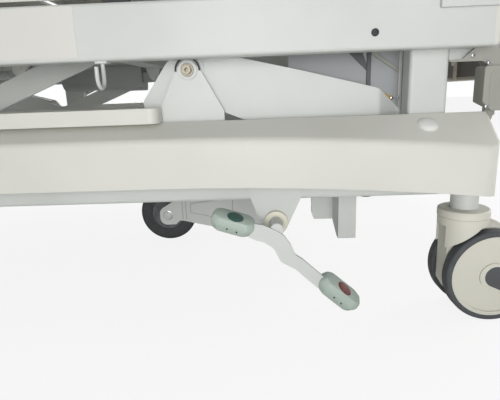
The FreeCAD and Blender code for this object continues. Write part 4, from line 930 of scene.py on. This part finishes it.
def paleFloor():
    # the camera sees a nearly white floor that keeps a soft shadow
    print("floor")
    mesh = bpy.data.meshes.new("floor")
    size = 14.0
    corners = [(-size, -size, 0), (size, -size, 0), (size, size, 0), (-size, size, 0)]
    mesh.from_pydata(corners, [], [(0, 1, 2, 3)])
    floor = bpy.data.objects.new("floor", mesh)
    bpy.context.collection.objects.link(floor)
    mat = bpy.data.materials.new("studioFloor")
    mat.use_nodes = True
    tree = mat.node_tree
    tree.nodes.clear()
    soft = addNode(tree, "ShaderNodeBsdfDiffuse", {"Color": srgb(stage["floor"])})
    glow = addNode(tree, "ShaderNodeEmission", {"Color": (1, 1, 1, 1), "Strength": 1.0})
    rays = addNode(tree, "ShaderNodeLightPath")
    share = addNode(tree, "ShaderNodeMath", {"operation": "MULTIPLY"}, {})
    tree.links.new(rays.outputs["Is Camera Ray"], share.inputs[0])
    share.inputs[1].default_value = stage["floorGlow"]
    mix = addNode(tree, "ShaderNodeMixShader", {}, {"Fac": share.outputs["Value"]})
    tree.links.new(soft.outputs["BSDF"], mix.inputs[1])
    tree.links.new(glow.outputs["Emission"], mix.inputs[2])
    addNode(tree, "ShaderNodeOutputMaterial", {}, {"Surface": mix.outputs["Shader"]})
    mesh.materials.append(mat)


def studioLight():
    print("light")
    world = bpy.data.worlds.new("studio")
    bpy.context.scene.world = world
    world.use_nodes = True
    tree = world.node_tree
    tree.nodes.clear()
    rays = addNode(tree, "ShaderNodeLightPath")
    soft = addNode(tree, "ShaderNodeBackground", {"Color": (1, 1, 1, 1), "Strength": stage["world"]})
    white = addNode(tree, "ShaderNodeBackground", {"Color": (1, 1, 1, 1), "Strength": 1.0})
    seen = addNode(tree, "ShaderNodeMath", {"operation": "MAXIMUM"})
    tree.links.new(rays.outputs["Is Camera Ray"], seen.inputs[0])
    tree.links.new(rays.outputs["Is Glossy Ray"], seen.inputs[1])
    mix = addNode(tree, "ShaderNodeMixShader", {}, {"Fac": seen.outputs["Value"]})
    tree.links.new(soft.outputs["Background"], mix.inputs[1])
    tree.links.new(white.outputs["Background"], mix.inputs[2])
    addNode(tree, "ShaderNodeOutputWorld", {}, {"Surface": mix.outputs["Shader"]})
    for name, place, aim, size, power in stage["lamps"]:
        data = bpy.data.lights.new(name, "AREA")
        data.shape = "DISK"
        data.size = size
        data.energy = power
        lamp = bpy.data.objects.new(name, data)
        bpy.context.collection.objects.link(lamp)
        lamp.location = place
        lamp.rotation_mode = "QUATERNION"
        lamp.rotation_quaternion = (Vector(aim) - Vector(place)).to_track_quat("-Z", "Y")


# fitted to the photograph: right, up and forward directions and the eye, in the row frame
viewFacts = {"right": (0.9990, 0.0254, -0.0364), "up": (0.0292, 0.2394, 0.9705),
             "ahead": (-0.0334, 0.9706, -0.2384), "eye": (613.6, -1116.6, 370.9),
             "sensor": 36.0, "lens": 31.30}


def photoCamera():
    print("camera")
    data = bpy.data.cameras.new("photoCamera")
    data.sensor_width = viewFacts["sensor"]
    data.lens = viewFacts["lens"]
    data.clip_start = 0.05
    data.clip_end = 60
    camera = bpy.data.objects.new("photoCamera", data)
    bpy.context.collection.objects.link(camera)
    axes = Vector(viewFacts["right"]), Vector(viewFacts["up"]), -Vector(viewFacts["ahead"])
    turn = Matrix(axes).transposed().to_4x4()
    camera.matrix_world = Matrix.Translation(Vector(viewFacts["eye"]) * mm) @ turn
    bpy.context.scene.camera = camera


paleFloor()
studioLight()
photoCamera()
bpy.context.scene.view_settings.view_transform = "Standard"
